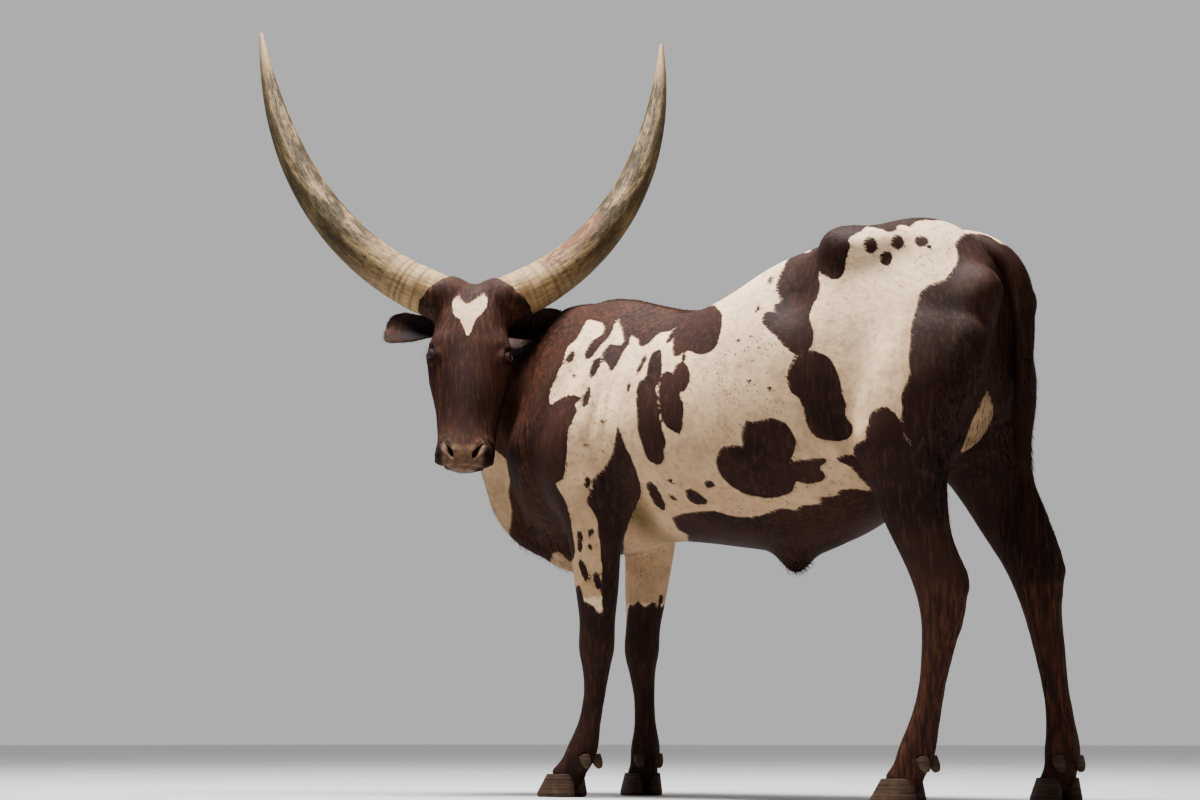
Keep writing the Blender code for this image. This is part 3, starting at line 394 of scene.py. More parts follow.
def flesh_blocks():
    made = [barrel(), skull()]
    for side in (1, -1):
        for (x, y, z), radii, (tilt, nod, yaw) in HIP_BONES:
            made.append(ellipsoid("hip_bone", (x, side * y, z), radii, (side * tilt, nod, side * yaw)))
        (x, y, z), radii, turn = PEDICLE
        pedicle = ellipsoid("pedicle", (side * x, y, z), radii, turn)
        pedicle.data.transform(head_matrix())
        made += [pedicle, collar(side)]
    made += [neck_core(), dewlap()]
    for name in LEG_JOINTS:
        made += leg_lofts(name)
    return made


def leg_lofts(name):
    """The leg, and on a hind leg the tendon above the heel and the cord below it."""
    joints = LEG_JOINTS[name]
    side = math.copysign(1, joints[0][1])
    if name.startswith("fore"):
        return [limb(name, joints, FORE_PROFILE)]
    back, low = TENDON_BACK[name]
    stifle, hock, shin = (Vector(joint) for joint in joints[2:5])
    heel = hock + Vector((HEEL[0], side * HEEL[1], HEEL[2]))
    tendon = [heel + Vector((0.008, 0, -0.030)), heel, heel + Vector((-0.034, side * 0.010, 0.110)),
        stifle + Vector((back, side * 0.008, 0.070))]
    cord = [heel, hock + Vector((low, 0, -0.070)), hock.lerp(shin, 0.6) + Vector((0.018, 0, 0))]
    return [
        limb(name, joints, HIND_PROFILE),
        limb("tendon", tendon, TENDON_PROFILE),
        limb("cord", cord, CORD_PROFILE),
    ]


# ---- Working on meshes ----


def join(name, objects):
    bm = bmesh.new()
    for obj in objects:
        bm.from_mesh(obj.data)
        bpy.data.objects.remove(obj)
    return object_from(name, bm)


def apply_modifiers(obj):
    graph = bpy.context.evaluated_depsgraph_get()
    mesh = bpy.data.meshes.new_from_object(obj.evaluated_get(graph))
    obj.modifiers.clear()
    obj.data = mesh
    return obj


def boolean(obj, operation, other):
    cut = obj.modifiers.new(operation.lower(), "BOOLEAN")
    cut.operation, cut.object, cut.solver = operation, other, "EXACT"
    apply_modifiers(obj)
    bpy.data.objects.remove(other)


def array_of(items, field, width=3, kind=float):
    """One field of all items of a mesh, a row for each item."""
    found = np.empty(len(items) * width, kind)
    items.foreach_get(field, found)
    return found.reshape(-1, width)


def points_of(mesh):
    return array_of(mesh.vertices, "co")


def normals_of(mesh):
    return array_of(mesh.vertex_normals, "vector")


def put_points(mesh, points):
    mesh.vertices.foreach_set("co", points.ravel())
    mesh.update()


def moved(points, matrix):
    matrix = np.array(matrix)
    return points @ matrix[:3, :3].T + matrix[:3, 3]


def in_head_space(points):
    return moved(points, head_matrix().inverted())


def ramp(values, low, high):
    """0 up to low, 1 from high on, and smooth between; where low is the greater, the other way round."""
    share = np.clip((values - low) / (high - low), 0, 1)
    return share * share * (3 - 2 * share)


def bell(values, width):
    return np.exp(-((values / width) ** 2))


def unit(vectors):
    return vectors / (np.linalg.norm(vectors, axis=1)[:, None] + 1e-9)


def fineness(points):
    """How much of the relaxing each point takes: all on the trunk, little on the head and the feet."""
    local = in_head_space(points)
    from_face = np.clip((local[:, 1] - 0.10) / 0.10, 0, 1)
    beside = 0.13 + 0.03 * np.clip((local[:, 2] + 0.15) / 0.05, 0, 1)
    from_face += np.clip((np.abs(local[:, 0]) - beside) / 0.05, 0, 1)
    from_feet = np.clip((points[:, 2] - 0.45) / 0.25, 0, 1)
    return 0.12 + 0.88 * np.minimum(np.clip(from_face, 0, 1), from_feet)


def neighbour_means(mesh):
    """A function that gives the mean of a vector over the neighbours of each point."""
    ends = array_of(mesh.edges, "vertices", 2, int)
    here, there = np.vstack([ends, ends[:, ::-1]]).T
    size = len(mesh.vertices)
    count = np.maximum(np.bincount(here, minlength=size), 1)[:, None]

    def means(values):
        return np.stack([np.bincount(here, values[there, k], size) for k in range(3)], axis=1) / count

    return means


def relax(mesh, rounds, share, swing=0.0):
    """Moves points towards the middle of their neighbours; swing gives back what each round shrinks."""
    points = points_of(mesh)
    means = neighbour_means(mesh)
    for _ in range(rounds):
        for strength in (0.5, -swing) if swing else (0.5,):
            points += strength * share[:, None] * (means(points) - points)
    put_points(mesh, points)


def swell(mesh, swells, local, mirror):
    """Moves the skin out, or in, round each centre and its image across the mirror axis of local."""
    push = np.zeros(len(local))
    for centre, radii, turn, depth in swells.values():
        rotation = np.array(turned(turn))
        for side in (1, -1) if centre[mirror] else (1,):
            flipped = local.copy()
            flipped[:, mirror] *= side
            away = ((flipped - centre) @ rotation) / radii
            push += depth * np.exp(-1.2 * (away**2).sum(axis=1))
    put_points(mesh, points_of(mesh) + normals_of(mesh) * push[:, None])


def refine(obj, chosen):
    """Halves the edges of the faces that have a chosen corner."""
    bm = bmesh.new()
    bm.from_mesh(obj.data)
    bm.verts.ensure_lookup_table()
    edges = {edge for face in bm.faces if any(chosen[v.index] for v in face.verts) for edge in face.edges}
    bmesh.ops.subdivide_edges(bm, edges=list(edges), cuts=1, use_grid_fill=True)
    bm.to_mesh(obj.data)
    bm.free()


def fused_flesh():
    """The whole soft body, without ears and tail, as one closed mesh."""
    flesh = join("skin", flesh_blocks())
    remesh = flesh.modifiers.new("fuse", "REMESH")
    remesh.mode, remesh.voxel_size = "VOXEL", VOXEL
    apply_modifiers(flesh)
    mesh = flesh.data
    relax(mesh, RELAX_ROUNDS, fineness(points_of(mesh)))
    swell(mesh, BODY_SWELLS, points_of(mesh), 1)
    swell(mesh, HEAD_SWELLS, in_head_space(points_of(mesh)), 0)
    relax(mesh, 3, np.ones(len(mesh.vertices)))
    return flesh


# ---- Fine shapes of head and body ----
# The eye's own directions in head space, on the left: out of the head, and towards the inner corner.
EYE_OUT = Vector((0.86, -0.50, 0.06)).normalized()
EYE_INNER = Vector((-0.25, -0.45, -0.86))
LID_RADIUS = 0.0229  # the lids lie on a sphere this large round the eye's centre
LID_OPENING = (0.0182, 0.0092, 0.0080)  # half length, and half heights above and below
LID_EDGE = 0.25  # share of the opening within which points are drawn to its edge
EYE_SOCKET = 0.0180
ORBIT_HEIGHT = 0.0160  # of the skin just outside the lids, from the eye's centre
# Creases and puffs round the lids: radius above and below, half width, and height above and below
LID_FOLDS = [(0.0190, 0.0170, 0.0024, -0.0022, -0.0008), (0.0270, 0.0240, 0.0060, 0.0018, 0.0005)]

# Grooves as (line, half width, depth, height of the rims beside it), on the left and mirrored.
HEAD_GROOVES = {
    "mouth": ([(0.0, -0.04, -0.5275), (0.026, -0.036, -0.527), (0.046, -0.022, -0.524),
        (0.06, -0.002, -0.517), (0.069, 0.026, -0.502), (0.073, 0.054, -0.482)], 0.0036, 0.005, 0.0006),
    "philtrum": ([(0.0, -0.062, -0.494), (0.0, -0.056, -0.516)], 0.0022, 0.0014, 0.0003),
    "nostril_crease": ([(0.078, -0.004, -0.47), (0.072, -0.026, -0.456), (0.058, -0.044, -0.446)],
        0.0055, 0.0026, 0.001),
    "lip_fold": ([(0.07, -0.02, -0.498), (0.08, 0.01, -0.49), (0.082, 0.04, -0.47)], 0.004, 0.002, 0.001),
    "corner_fold": ([(0.076, 0.066, -0.476), (0.08, 0.066, -0.45), (0.08, 0.05, -0.425)],
        0.005, 0.0022, 0.0012),
    "jaw_groove": ([(0.082, 0.09, -0.3), (0.08, 0.07, -0.35), (0.076, 0.052, -0.396)], 0.008, 0.0022, 0.0),
}
HEAD_RIDGES = {
    "facial_crest": ([(0.104, 0.004, -0.25), (0.096, 0.004, -0.3), (0.086, 0.004, -0.35)], 0.011, 0.0035),
    "face_vein": ([(0.088, -0.03, -0.262), (0.084, -0.018, -0.3), (0.08, -0.022, -0.34),
        (0.076, -0.012, -0.38), (0.074, -0.016, -0.41)], 0.003, 0.0014),
    "jaw_bone": ([(0.062, 0.165, -0.29), (0.058, 0.135, -0.35), (0.05, 0.105, -0.4)], 0.014, 0.004),
    "nostril_rim": ([(0.02, -0.055, -0.498), (0.026, -0.059, -0.482), (0.036, -0.057, -0.467),
        (0.048, -0.05, -0.458), (0.06, -0.036, -0.46)], 0.0065, 0.0028),
    "nostril_wing": ([(0.042, -0.05, -0.512), (0.05, -0.048, -0.496), (0.058, -0.04, -0.48),
        (0.063, -0.03, -0.466)], 0.007, 0.003),
    "lip_edge": ([(0.0, -0.05, -0.519), (0.03, -0.045, -0.518), (0.052, -0.028, -0.514),
        (0.066, 0.0, -0.506), (0.074, 0.03, -0.49)], 0.006, 0.0022),
    "lower_lip": ([(0.0, -0.034, -0.533), (0.022, -0.03, -0.532), (0.042, -0.012, -0.527),
        (0.056, 0.016, -0.514)], 0.006, 0.0018),
}
NOSTRIL_INWARD = (-0.25, 0.80, 0.55)  # the direction of the hollow, on the left
# The nostril is a hollow along this line, as (point, half width, depth).
NOSTRIL = [((0.028, -0.052, -0.512), 0.0045, 0.01), ((0.032, -0.056, -0.501), 0.009, 0.03),
    ((0.038, -0.058, -0.489), 0.0088, 0.034), ((0.045, -0.055, -0.477), 0.0065, 0.02),
    ((0.052, -0.048, -0.467), 0.0035, 0.007)]
# Below the slit of the mouth, the lower jaw is narrower than the lips and lies behind them.
MOUTH_FRONT, MOUTH_RISE = (-0.040, -0.5275), 0.485  # (y, z) in the middle, and its rise to its corners
JAW_NARROWING, JAW_SETBACK = 0.20, 0.0035

BODY_GROOVES = {
    "shoulder_crease": ([(-0.352, -0.15, 1.225), (-0.322, -0.19, 1.12), (-0.31, -0.22, 1.0),
        (-0.322, -0.235, 0.88)], 0.01, 0.0065, 0.003),
    "elbow_fold_1": ([(-0.3, -0.215, 0.815), (-0.27, -0.205, 0.745), (-0.262, -0.17, 0.69)],
        0.01, 0.006, 0.003),
    "elbow_fold_2": ([(-0.262, -0.225, 0.8), (-0.228, -0.205, 0.73), (-0.215, -0.16, 0.672)],
        0.01, 0.005, 0.0026),
    "elbow_fold_3": ([(-0.215, -0.23, 0.79), (-0.18, -0.205, 0.715), (-0.165, -0.15, 0.66)],
        0.01, 0.0035, 0.002),
    "brisket_fold": ([(-0.5, -0.15, 0.8), (-0.47, -0.16, 0.72), (-0.455, -0.14, 0.66)],
        0.011, 0.005, 0.002),
    "thigh_groove": ([(0.69, -0.15, 1.11), (0.68, -0.2, 0.98), (0.655, -0.205, 0.84), (0.645, -0.19, 0.74)],
        0.015, 0.004, 0.0),
    "flank_groove": ([(0.395, -0.215, 0.96), (0.405, -0.215, 0.88), (0.425, -0.21, 0.81)],
        0.015, 0.0045, 0.002),
    "gaskin_groove": ([(0.64, -0.18, 0.69), (0.648, -0.175, 0.6), (0.655, -0.165, 0.54)],
        0.008, 0.003, 0.0),
}
BODY_RIDGES = {
    "spine": ([(-0.1, 0.0, 1.26), (0.15, 0.0, 1.34), (0.4, 0.0, 1.38)], 0.016, 0.003),
    "milk_vein": ([(-0.16, -0.12, 0.65), (-0.02, -0.13, 0.632), (0.12, -0.14, 0.63), (0.25, -0.13, 0.655)],
        0.007, 0.0025),
    "flank_skin": ([(0.33, -0.2, 0.9), (0.395, -0.195, 0.8), (0.45, -0.18, 0.74)], 0.018, 0.007),
}
# Skin that gathers where the neck bends, as grooves across the left side of the neck.
NECK_FOLDS = [[(-0.72, -0.11, 1.17), (-0.705, -0.14, 1.06), (-0.69, -0.14, 0.96)],
    [(-0.69, -0.105, 1.185), (-0.665, -0.14, 1.06), (-0.655, -0.15, 0.95)],
    [(-0.655, -0.11, 1.19), (-0.625, -0.145, 1.07), (-0.61, -0.16, 0.96)]]
NECK_FOLD_WIDTH, NECK_FOLD_DEPTH = 0.011, 0.0060
RIB_FRONT, RIB_STEP, RIB_COUNT = -0.235, 0.058, 8  # x of the first rib at its middle, spacing, number
RIB_MIDDLE = 0.95  # its height
RIB_HEIGHT, RIB_HALF_WIDTH, RIB_SLANT = 0.0012, 0.015, 0.20


def from_head(points):
    return moved(points, head_matrix())


def line_distance(points, line, margin=0.09):
    """(distance from the polyline, place along it in steps), for points less than margin outside its ball."""
    line = np.array(line, float)
    best, place = np.full(len(points), FAR), np.zeros(len(points))
    near = np.linalg.norm(points - line.mean(axis=0), axis=1)
    reach = np.linalg.norm(line - line.mean(axis=0), axis=1).max() + margin
    index = np.flatnonzero(near < reach)
    for i, (start, end) in enumerate(zip(line, line[1:])):
        way = end - start
        share = np.clip((points[index] - start) @ way / (way @ way), 0, 1)
        away = np.linalg.norm(points[index] - start - share[:, None] * way, axis=1)
        closer = away < best[index]
        best[index[closer]] = away[closer]
        place[index[closer]] = i + share[closer]
    return best, place


def path_distance(points, path, steps=6):
    """(distance from the smoothed path, place along it in steps between its points)."""
    away, place = line_distance(points, smooth_rows(path, steps), FAR)
    return away, place / steps


def fade(place, count, first=0.0):
    """1 along a line of count steps and 0 at its ends; first moves its start that many steps back."""
    return ramp(np.minimum(place + first, count - place), 0.0, min(3.0, 0.4 * count))


def groove_push(local, mirror, grooves, ridges):
    """How far each point moves out for grooves and ridges, with their images across the mirror axis."""
    push = np.zeros(len(local))
    raised = [(line, width, -height, 0.0) for line, width, height in ridges.values()]
    for line, width, depth, rim in [*grooves.values(), *raised]:
        line = np.array(smooth_rows(line, 4) if len(line) > 2 else line)
        flat = abs(line[:, mirror]).max() < 1e-6
        on_middle = not flat and abs(line[0, mirror]) < 1e-6
        for side in (1,) if flat else (1, -1):
            flip = np.ones(3)
            flip[mirror] = side
            away, place = line_distance(local, line * flip)
            half = (local[:, mirror] * side >= 0) if on_middle else 1.0
            faded = fade(place, len(line) - 1, FAR * on_middle)
            beside = half * (bell(away - 2.1 * width, width) * faded)
            push += rim * beside - depth * (half * bell(away, width) * faded)
    return push


def rib_push(points, normals):
    """Low ridges down the barrel."""
    x, _, z = points.T
    push = np.zeros(len(points))
    for i in range(RIB_COUNT):
        rib = RIB_FRONT + i * RIB_STEP - RIB_SLANT * (z - RIB_MIDDLE)
        push += bell(x - rib, RIB_HALF_WIDTH)
    band = ramp(z, 0.74, 0.86) * (1 - ramp(z, 1.08, 1.20)) * ramp(abs(normals[:, 1]), 0.5, 0.8)
    return RIB_HEIGHT * push * band


def eye_frame(side):
    """Matrix from the eye's space (along the slit, towards the upper lid, out) to head space."""
    inner = (EYE_INNER - EYE_OUT * EYE_INNER.dot(EYE_OUT)).normalized()
    up = EYE_OUT.cross(inner).normalized()
    if up.z < 0:
        up = -up
    turn = Matrix((inner, up, EYE_OUT)).transposed().to_4x4()
    return mirrored(side) @ Matrix.Translation(EYE_CENTRE) @ turn


def opening(s, t):
    """Below 1 inside the almond between the lids, 1 on its edge, and above 1 outside."""
    length, upper, lower = LID_OPENING
    height = np.where(t > 0, upper, lower)
    return np.sqrt((s / length) ** 2 + (abs(t) / height) ** 1.6 + 1e-9)


def shape_lids(local, side):
    """Wraps the skin round the eye and folds it above and below; the eyeball stands in the gap."""
    eye = moved(local, eye_frame(side).inverted())
    near = (np.hypot(eye[:, 0], eye[:, 1]) < 0.050) & (eye[:, 2] > -0.02) & (eye[:, 2] < 0.05)
    s, t, h = eye[near].T
    gape = opening(s, t)
    drawn = np.clip(abs(gape - 1) / LID_EDGE, 0, 1)
    pull = (1 + (gape - 1) * drawn) / gape
    s, t = s * pull, t * pull
    gape = opening(s, t)
    across = np.hypot(s, 1.12 * t)
    sphere = LID_RADIUS - (LID_RADIUS - EYE_SOCKET) * (1 - ramp(gape, 0.80, 0.99))
    dome = np.sqrt(np.maximum(sphere**2 - (s**2 + t**2), 0.010**2))
    skirt = ORBIT_HEIGHT - np.where(t > 0, 0.26, 0.42) * np.maximum(across - 0.016, 0)
    skirt -= 0.5 * np.maximum(abs(s) - 0.02, 0)
    around = h + np.maximum(skirt - h, 0) * (1 - ramp(across, 0.024, 0.044))
    new = around + (dome - around) * (1 - ramp(across, 0.0145, 0.0215))
    radius = np.hypot(s * 0.80, t)
    clear_of_corners = ramp(abs(t), 0.003, 0.010)
    folds = 0.0
    for high, low, width, above, below in LID_FOLDS:
        shape = bell(radius - np.where(t > 0, high, low), width) * clear_of_corners
        folds = folds + np.where(t > 0, above, below) * shape
    new += folds + 0.0008 * bell(gape - 1.12, 0.10)
    local[near] = moved(np.stack([s, t, new], axis=1), eye_frame(side))


def shape_jaw(local):
    """Draws in what lies below the slit of the mouth, in head space."""
    x, y, z = local.T
    front, height = MOUTH_FRONT
    below = ramp(height + MOUTH_RISE * (y - front) - z, -0.0030, 0.0110)
    below *= (1 - ramp(y, 0.045, 0.080)) * (z < -0.46) * (z > -0.56) * (abs(x) < 0.096) * (y > -0.10)
    local[:, 0] *= 1 - JAW_NARROWING * below
    local[:, 1] += JAW_SETBACK * below


def shape_nostrils(local):
    """Hollows out the nostrils, in head space."""
    rows = np.array(smooth_rows([(*point, width, depth) for point, width, depth in NOSTRIL], 4))
    steps = np.arange(len(rows))
    for side in (1, -1):
        away, place = line_distance(local, rows[:, :3] * (side, 1, 1))
        width, depth = (np.interp(place, steps, rows[:, k]) for k in (3, 4))
        share = ramp(1 - away / (1.2 * width), 0.0, 0.85)
        local += (share * depth)[:, None] * (np.array(NOSTRIL_INWARD) * (side, 1, 1))


def ear_mesh(which, side):
    """A cupped leaf that stands out sideways with its hollow towards the front."""
    columns = 22  # across the ear
    rows = smooth_rows(EAR_SHAPE, 6)
    last = len(rows) - 1
    bm = bmesh.new()
    sheets = []
    for face in (-0.5, 0.5):
        sheet = []
        for share, above, below, cup in rows:
            row = []
            for k in range(columns + 1):
                v = math.sin(math.pi * (k / columns - 0.5))
                thickness = EAR_THICKNESS * (1 - 0.55 * v * v) * (1.25 - 0.45 * share)
                hollow = 1.6 * cup * (0.4 - v * v) + 0.10 * share * share * EAR_LENGTH
                ribs = 0.0011 * math.cos(5 * math.pi * v) * (1 - share) * (face < 0)
                half = above if v > 0 else below
                row.append(bm.verts.new((share * EAR_LENGTH, hollow + face * thickness + ribs, v * half)))
            sheet.append(row)
        for i in range(last):
            for k in range(columns):
                bm.faces.new((sheet[i][k], sheet[i + 1][k], sheet[i + 1][k + 1], sheet[i][k + 1]))
        sheets.append(sheet)
    front, back = sheets
    border = [(0, k) for k in range(columns)] + [(i, columns) for i in range(last)]
    border += [(last, k) for k in range(columns, 0, -1)] + [(i, 0) for i in range(last, 0, -1)]
    for (i, k), (j, m) in zip(border, border[1:] + border[:1]):
        bm.faces.new((front[i][k], back[i][k], back[j][m], front[j][m]))
    bm.transform(ear_matrix(which, side))
    return object_from(f"ear_{which}", bm)


def ear_matrix(which, side):
    turn = turned(EAR_TURNS[which]).to_4x4()
    return head_matrix() @ mirrored(side) @ Matrix.Translation(EAR_ROOT) @ turn


def in_box(local, beside, back, low=-FAR, high=FAR):
    """Which points in head space are near enough the middle, in front of back, and between low and high."""
    x, y, z = local.T
    return (abs(x) < beside) & (y < back) & (z > low) & (z < high)


def near_eyes(local, reach):
    eye = np.array(Vector(EYE_CENTRE))
    return np.min([np.linalg.norm(local - eye * (side, 1, 1), axis=1) for side in (1, -1)], axis=0) < reach


def near_nostrils(local, reach):
    lines = [[(side * x, y, z) for (x, y, z), _, _ in NOSTRIL] for side in (1, -1)]
    return np.min([line_distance(local, line)[0] for line in lines], axis=0) < reach


def refine_skin(skin):
    """Finer faces on head and feet, then round eyes and muzzle, and then on lids and nostrils."""
    points = points_of(skin.data)
    refine(skin, in_box(in_head_space(points), 0.125, 0.175, -0.58, 0.06) | (points[:, 2] < 0.17))
    points = points_of(skin.data)
    share = in_box(in_head_space(points), 0.135, 0.19, -0.59) | (points[:, 2] < 0.20)
    relax(skin.data, 4, share.astype(float), DETAIL_SWING)
    local = in_head_space(points_of(skin.data))
    refine(skin, near_eyes(local, 0.052) | in_box(local, 0.10, 0.09, high=-0.43))
    local = in_head_space(points_of(skin.data))
    share = near_eyes(local, 0.06) | in_box(local, FAR, 0.10, high=-0.42)
    relax(skin.data, 3, share.astype(float), DETAIL_SWING)
    local = in_head_space(points_of(skin.data))
    refine(skin, near_eyes(local, 0.034) | near_nostrils(local, 0.013))


def body_skin():
    """Flesh refined and detailed, without ears and tail."""
    skin = fused_flesh()
    refine_skin(skin)
    points, normals = points_of(skin.data), normals_of(skin.data)
    local = in_head_space(points)
    head = in_box(local, 0.135, 0.19, -0.59)
    push = np.zeros(len(points))
    push[head] = groove_push(local[head], 0, HEAD_GROOVES, HEAD_RIDGES)
    push[~head] = groove_push(points[~head], 1, BODY_GROOVES, BODY_RIDGES)
    for line in NECK_FOLDS:
        away, place = line_distance(points, smooth_rows(line, 4))
        push -= NECK_FOLD_DEPTH * bell(away, NECK_FOLD_WIDTH) * fade(place, 4 * (len(line) - 1))
    push += rib_push(points, normals)
    local = in_head_space(points + normals * push[:, None])
    shape_jaw(local)
    shape_nostrils(local)
    for side in (1, -1):
        shape_lids(local, side)
    put_points(skin.data, from_head(local))
    return skin


# ---- Markings ----
# Outlines of the brown patches on the left side and of cream inside them, in pixels of the photograph,
# each smoothed to a curve.
LEFT_BROWN = {
    "front": [(440, 180), (706, 180), (704, 304), (690, 316), (673, 330), (660, 333), (650, 342),
        (640, 347), (638, 340), (635, 338), (631, 336), (628, 345), (623, 353), (617, 364), (612, 371),
        (609, 370), (607, 364), (602, 360), (602, 354), (606, 347), (611, 343.5), (618, 345.5), (623, 342),
        (623, 335), (620, 327), (617.5, 319), (614, 325), (612.5, 331), (608, 338), (601, 345), (596, 351),
        (591, 358), (586, 359), (585, 354), (588, 346), (594, 339), (600.5, 336), (604, 328), (602, 323),
        (595, 321), (588, 320), (583, 328), (576, 340), (568, 347), (563, 362), (556, 378), (550, 392),
        (550, 404), (557, 400), (565, 396), (574, 395), (581, 399), (575, 404), (577, 410), (573, 420),
        (568, 430), (567, 450), (565, 470), (562, 480), (556, 484), (563, 497), (569, 512), (573, 535),
        (575, 552), (570, 562), (562, 555), (553, 552), (540, 570), (470, 570), (440, 400)],
    "shoulder_spot": [(714, 305), (722, 315), (720, 335), (713, 350), (700, 355), (688, 351), (676, 357),
        (672, 352), (673, 340), (679, 325), (688, 316), (700, 309)],
    "saddle_slash": [(681, 322), (672, 331), (666, 342), (671, 341), (678, 332)],
    "rib_1": [(661, 349), (653, 352), (648, 362), (646, 375), (638, 384), (636, 400), (637, 425),
        (641, 443), (646, 456), (652, 463), (662, 464), (664, 450), (666, 440), (662, 430), (659, 415),
        (657, 398), (656, 388), (661, 376), (662, 360)],
    "rib_2": [(667, 370), (661, 376), (658, 390), (659, 410), (663, 422), (672, 431), (680, 433),
        (683, 420), (683, 405), (680, 396), (677, 385), (673, 374)],
    "rib_3": [(682, 361), (675, 366), (673, 375), (676, 388), (683, 392), (688, 385), (690, 375), (687, 365)],
    "elbow_spot": [(650, 480), (646, 486), (652, 500), (660, 509), (665, 510), (664, 502), (657, 488)],
    "low_spot": [(685, 490), (692, 489), (707, 500), (706, 504), (696, 504), (687, 499)],
    "belly": [(671, 518), (680, 514), (700, 511), (716, 511), (730, 515), (748, 517), (765, 514),
        (780, 508), (795, 510), (801, 505), (818, 504), (821, 497), (835, 496), (839, 490), (855, 489),
        (868, 491), (900, 500), (900, 640), (660, 640), (688, 546), (678, 530)],
    "side": [(745, 421), (757, 421), (768, 418), (783, 421), (792, 432), (796, 441), (793, 456), (789, 461),
        (800, 460), (812, 458), (829, 459), (820, 467), (825, 474), (822, 481), (808, 484), (797, 481),
        (794, 487), (788, 494), (769, 498), (749, 495), (734, 488), (720, 475), (716, 461), (722, 447),
        (735, 445), (742, 446), (741, 434)],
    "kidney": [(813, 350), (800, 354), (792, 360), (787, 372), (787, 385), (793, 394), (800, 400),
        (804, 412), (806, 422), (812, 434), (825, 440), (838, 441), (849, 438), (853, 430), (851, 423),
        (845, 415), (846, 405), (842, 393), (840, 380), (835, 367), (827, 356)],
    "boot": [(840, 205), (865, 222), (863, 230), (849, 238), (850, 246), (846, 262), (843, 275), (835, 280),
        (826, 277), (818, 272), (820, 285), (817, 298), (811, 310), (810, 320), (813, 332), (812, 344),
        (806, 353), (794, 354), (783, 345), (774, 335), (766, 328), (762, 320), (766, 311), (774, 312),
        (773, 305), (780, 301), (776, 290), (777, 280), (783, 268), (788, 258), (800, 253), (809, 252),
        (813, 242), (820, 225)],
    "sacrum": [(868, 227), (880, 229), (888, 232), (895, 231), (899, 225), (910, 227), (915, 222),
        (930, 220), (950, 221), (960, 218), (940, 200), (900, 200), (868, 210)],
    "rump": [(975, 231), (965, 233), (957, 240), (955, 245), (957, 255), (955, 266), (948, 275), (943, 280),
        (930, 284), (920, 292), (918, 300), (914, 315), (911, 325), (910, 345), (908, 360), (910, 372),
        (905, 385), (901, 397), (902, 410), (901, 421), (895, 413), (885, 406), (876, 409), (869, 415),
        (868, 425), (865, 430), (866, 438), (858, 442), (853, 449), (853, 455), (845, 455), (835, 459),
        (850, 467), (860, 478), (872, 490), (880, 500), (885, 530), (850, 800), (1140, 800), (1140, 200),
        (990, 200)],
    "foreleg": [(617, 425), (625, 445), (632, 460), (641, 488), (638, 502), (630, 520), (624, 540),
        (624, 570), (628, 640), (640, 800), (520, 800), (560, 640), (577, 585), (584, 600), (592, 605),
        (602, 613), (601, 590), (602, 572), (600, 545), (597, 520), (592, 510), (587, 503), (587, 497),
        (592, 488), (592, 480), (600, 472), (607, 463), (613, 450)],
}
LEFT_CREAM = {
    "throat": [(440, 437), (503, 437), (506, 452), (511, 470), (508, 490), (511, 510), (509, 527),
        (503, 538), (440, 548)],
    "inner_thigh": [(988, 390), (993, 405), (1000, 416), (996, 430), (992, 440), (991, 450), (985, 460),
        (975, 457), (960, 458), (965, 440), (975, 415), (982, 400)],
    "scar": [(903, 430), (907, 437), (911, 443), (907, 441), (904, 436)],
    "dock": [(1004, 298), (1010, 292), (1013, 312), (1013, 345), (1009, 360), (1002, 357), (1002, 325)],
}
# Spots as (x, y, half length, half width, degrees from the x axis towards down), in the same pixels
LEFT_SPOTS = [(870, 245, 8.5, 7.2, 90), (897, 242, 7.5, 6.5, 100), (886, 258, 7.5, 6.5, 90),
    (921, 241, 7, 5.5, 10), (929, 246, 3, 2.5, 0), (684, 357, 3.5, 2.2, 90), (641, 365, 11, 2.2, 115),
    (628, 388, 5, 1.8, 110), (595, 367, 11, 4, 115), (570, 357, 8, 3, 120), (586, 398, 11, 3.6, 105),
    (587, 482, 6, 3.2, 95), (580, 536, 6, 2.8, 70), (591, 532, 5, 3, 95), (580, 547, 6, 2.5, 85),
    (590, 547, 4, 2, 60), (584, 571, 12, 3.5, 70), (597, 581, 9, 3.5, 75), (709, 484, 5.5, 3.5, 20),
    (671, 481, 4, 2.2, 40), (672, 497, 5, 1.8, 40), (770, 280, 4.5, 2.2, 110), (757, 309, 3.5, 1.8, 110),
    (738, 340, 2.6, 2.2, 0), (749, 381, 3.2, 2.2, 60), (770, 389, 4.2, 2.8, 10), (751, 337, 2, 1.5, 0),
    (575, 376, 3, 2, 30), (602, 421, 2, 1.5, 0), (661, 599, 5, 2.4, 95)]
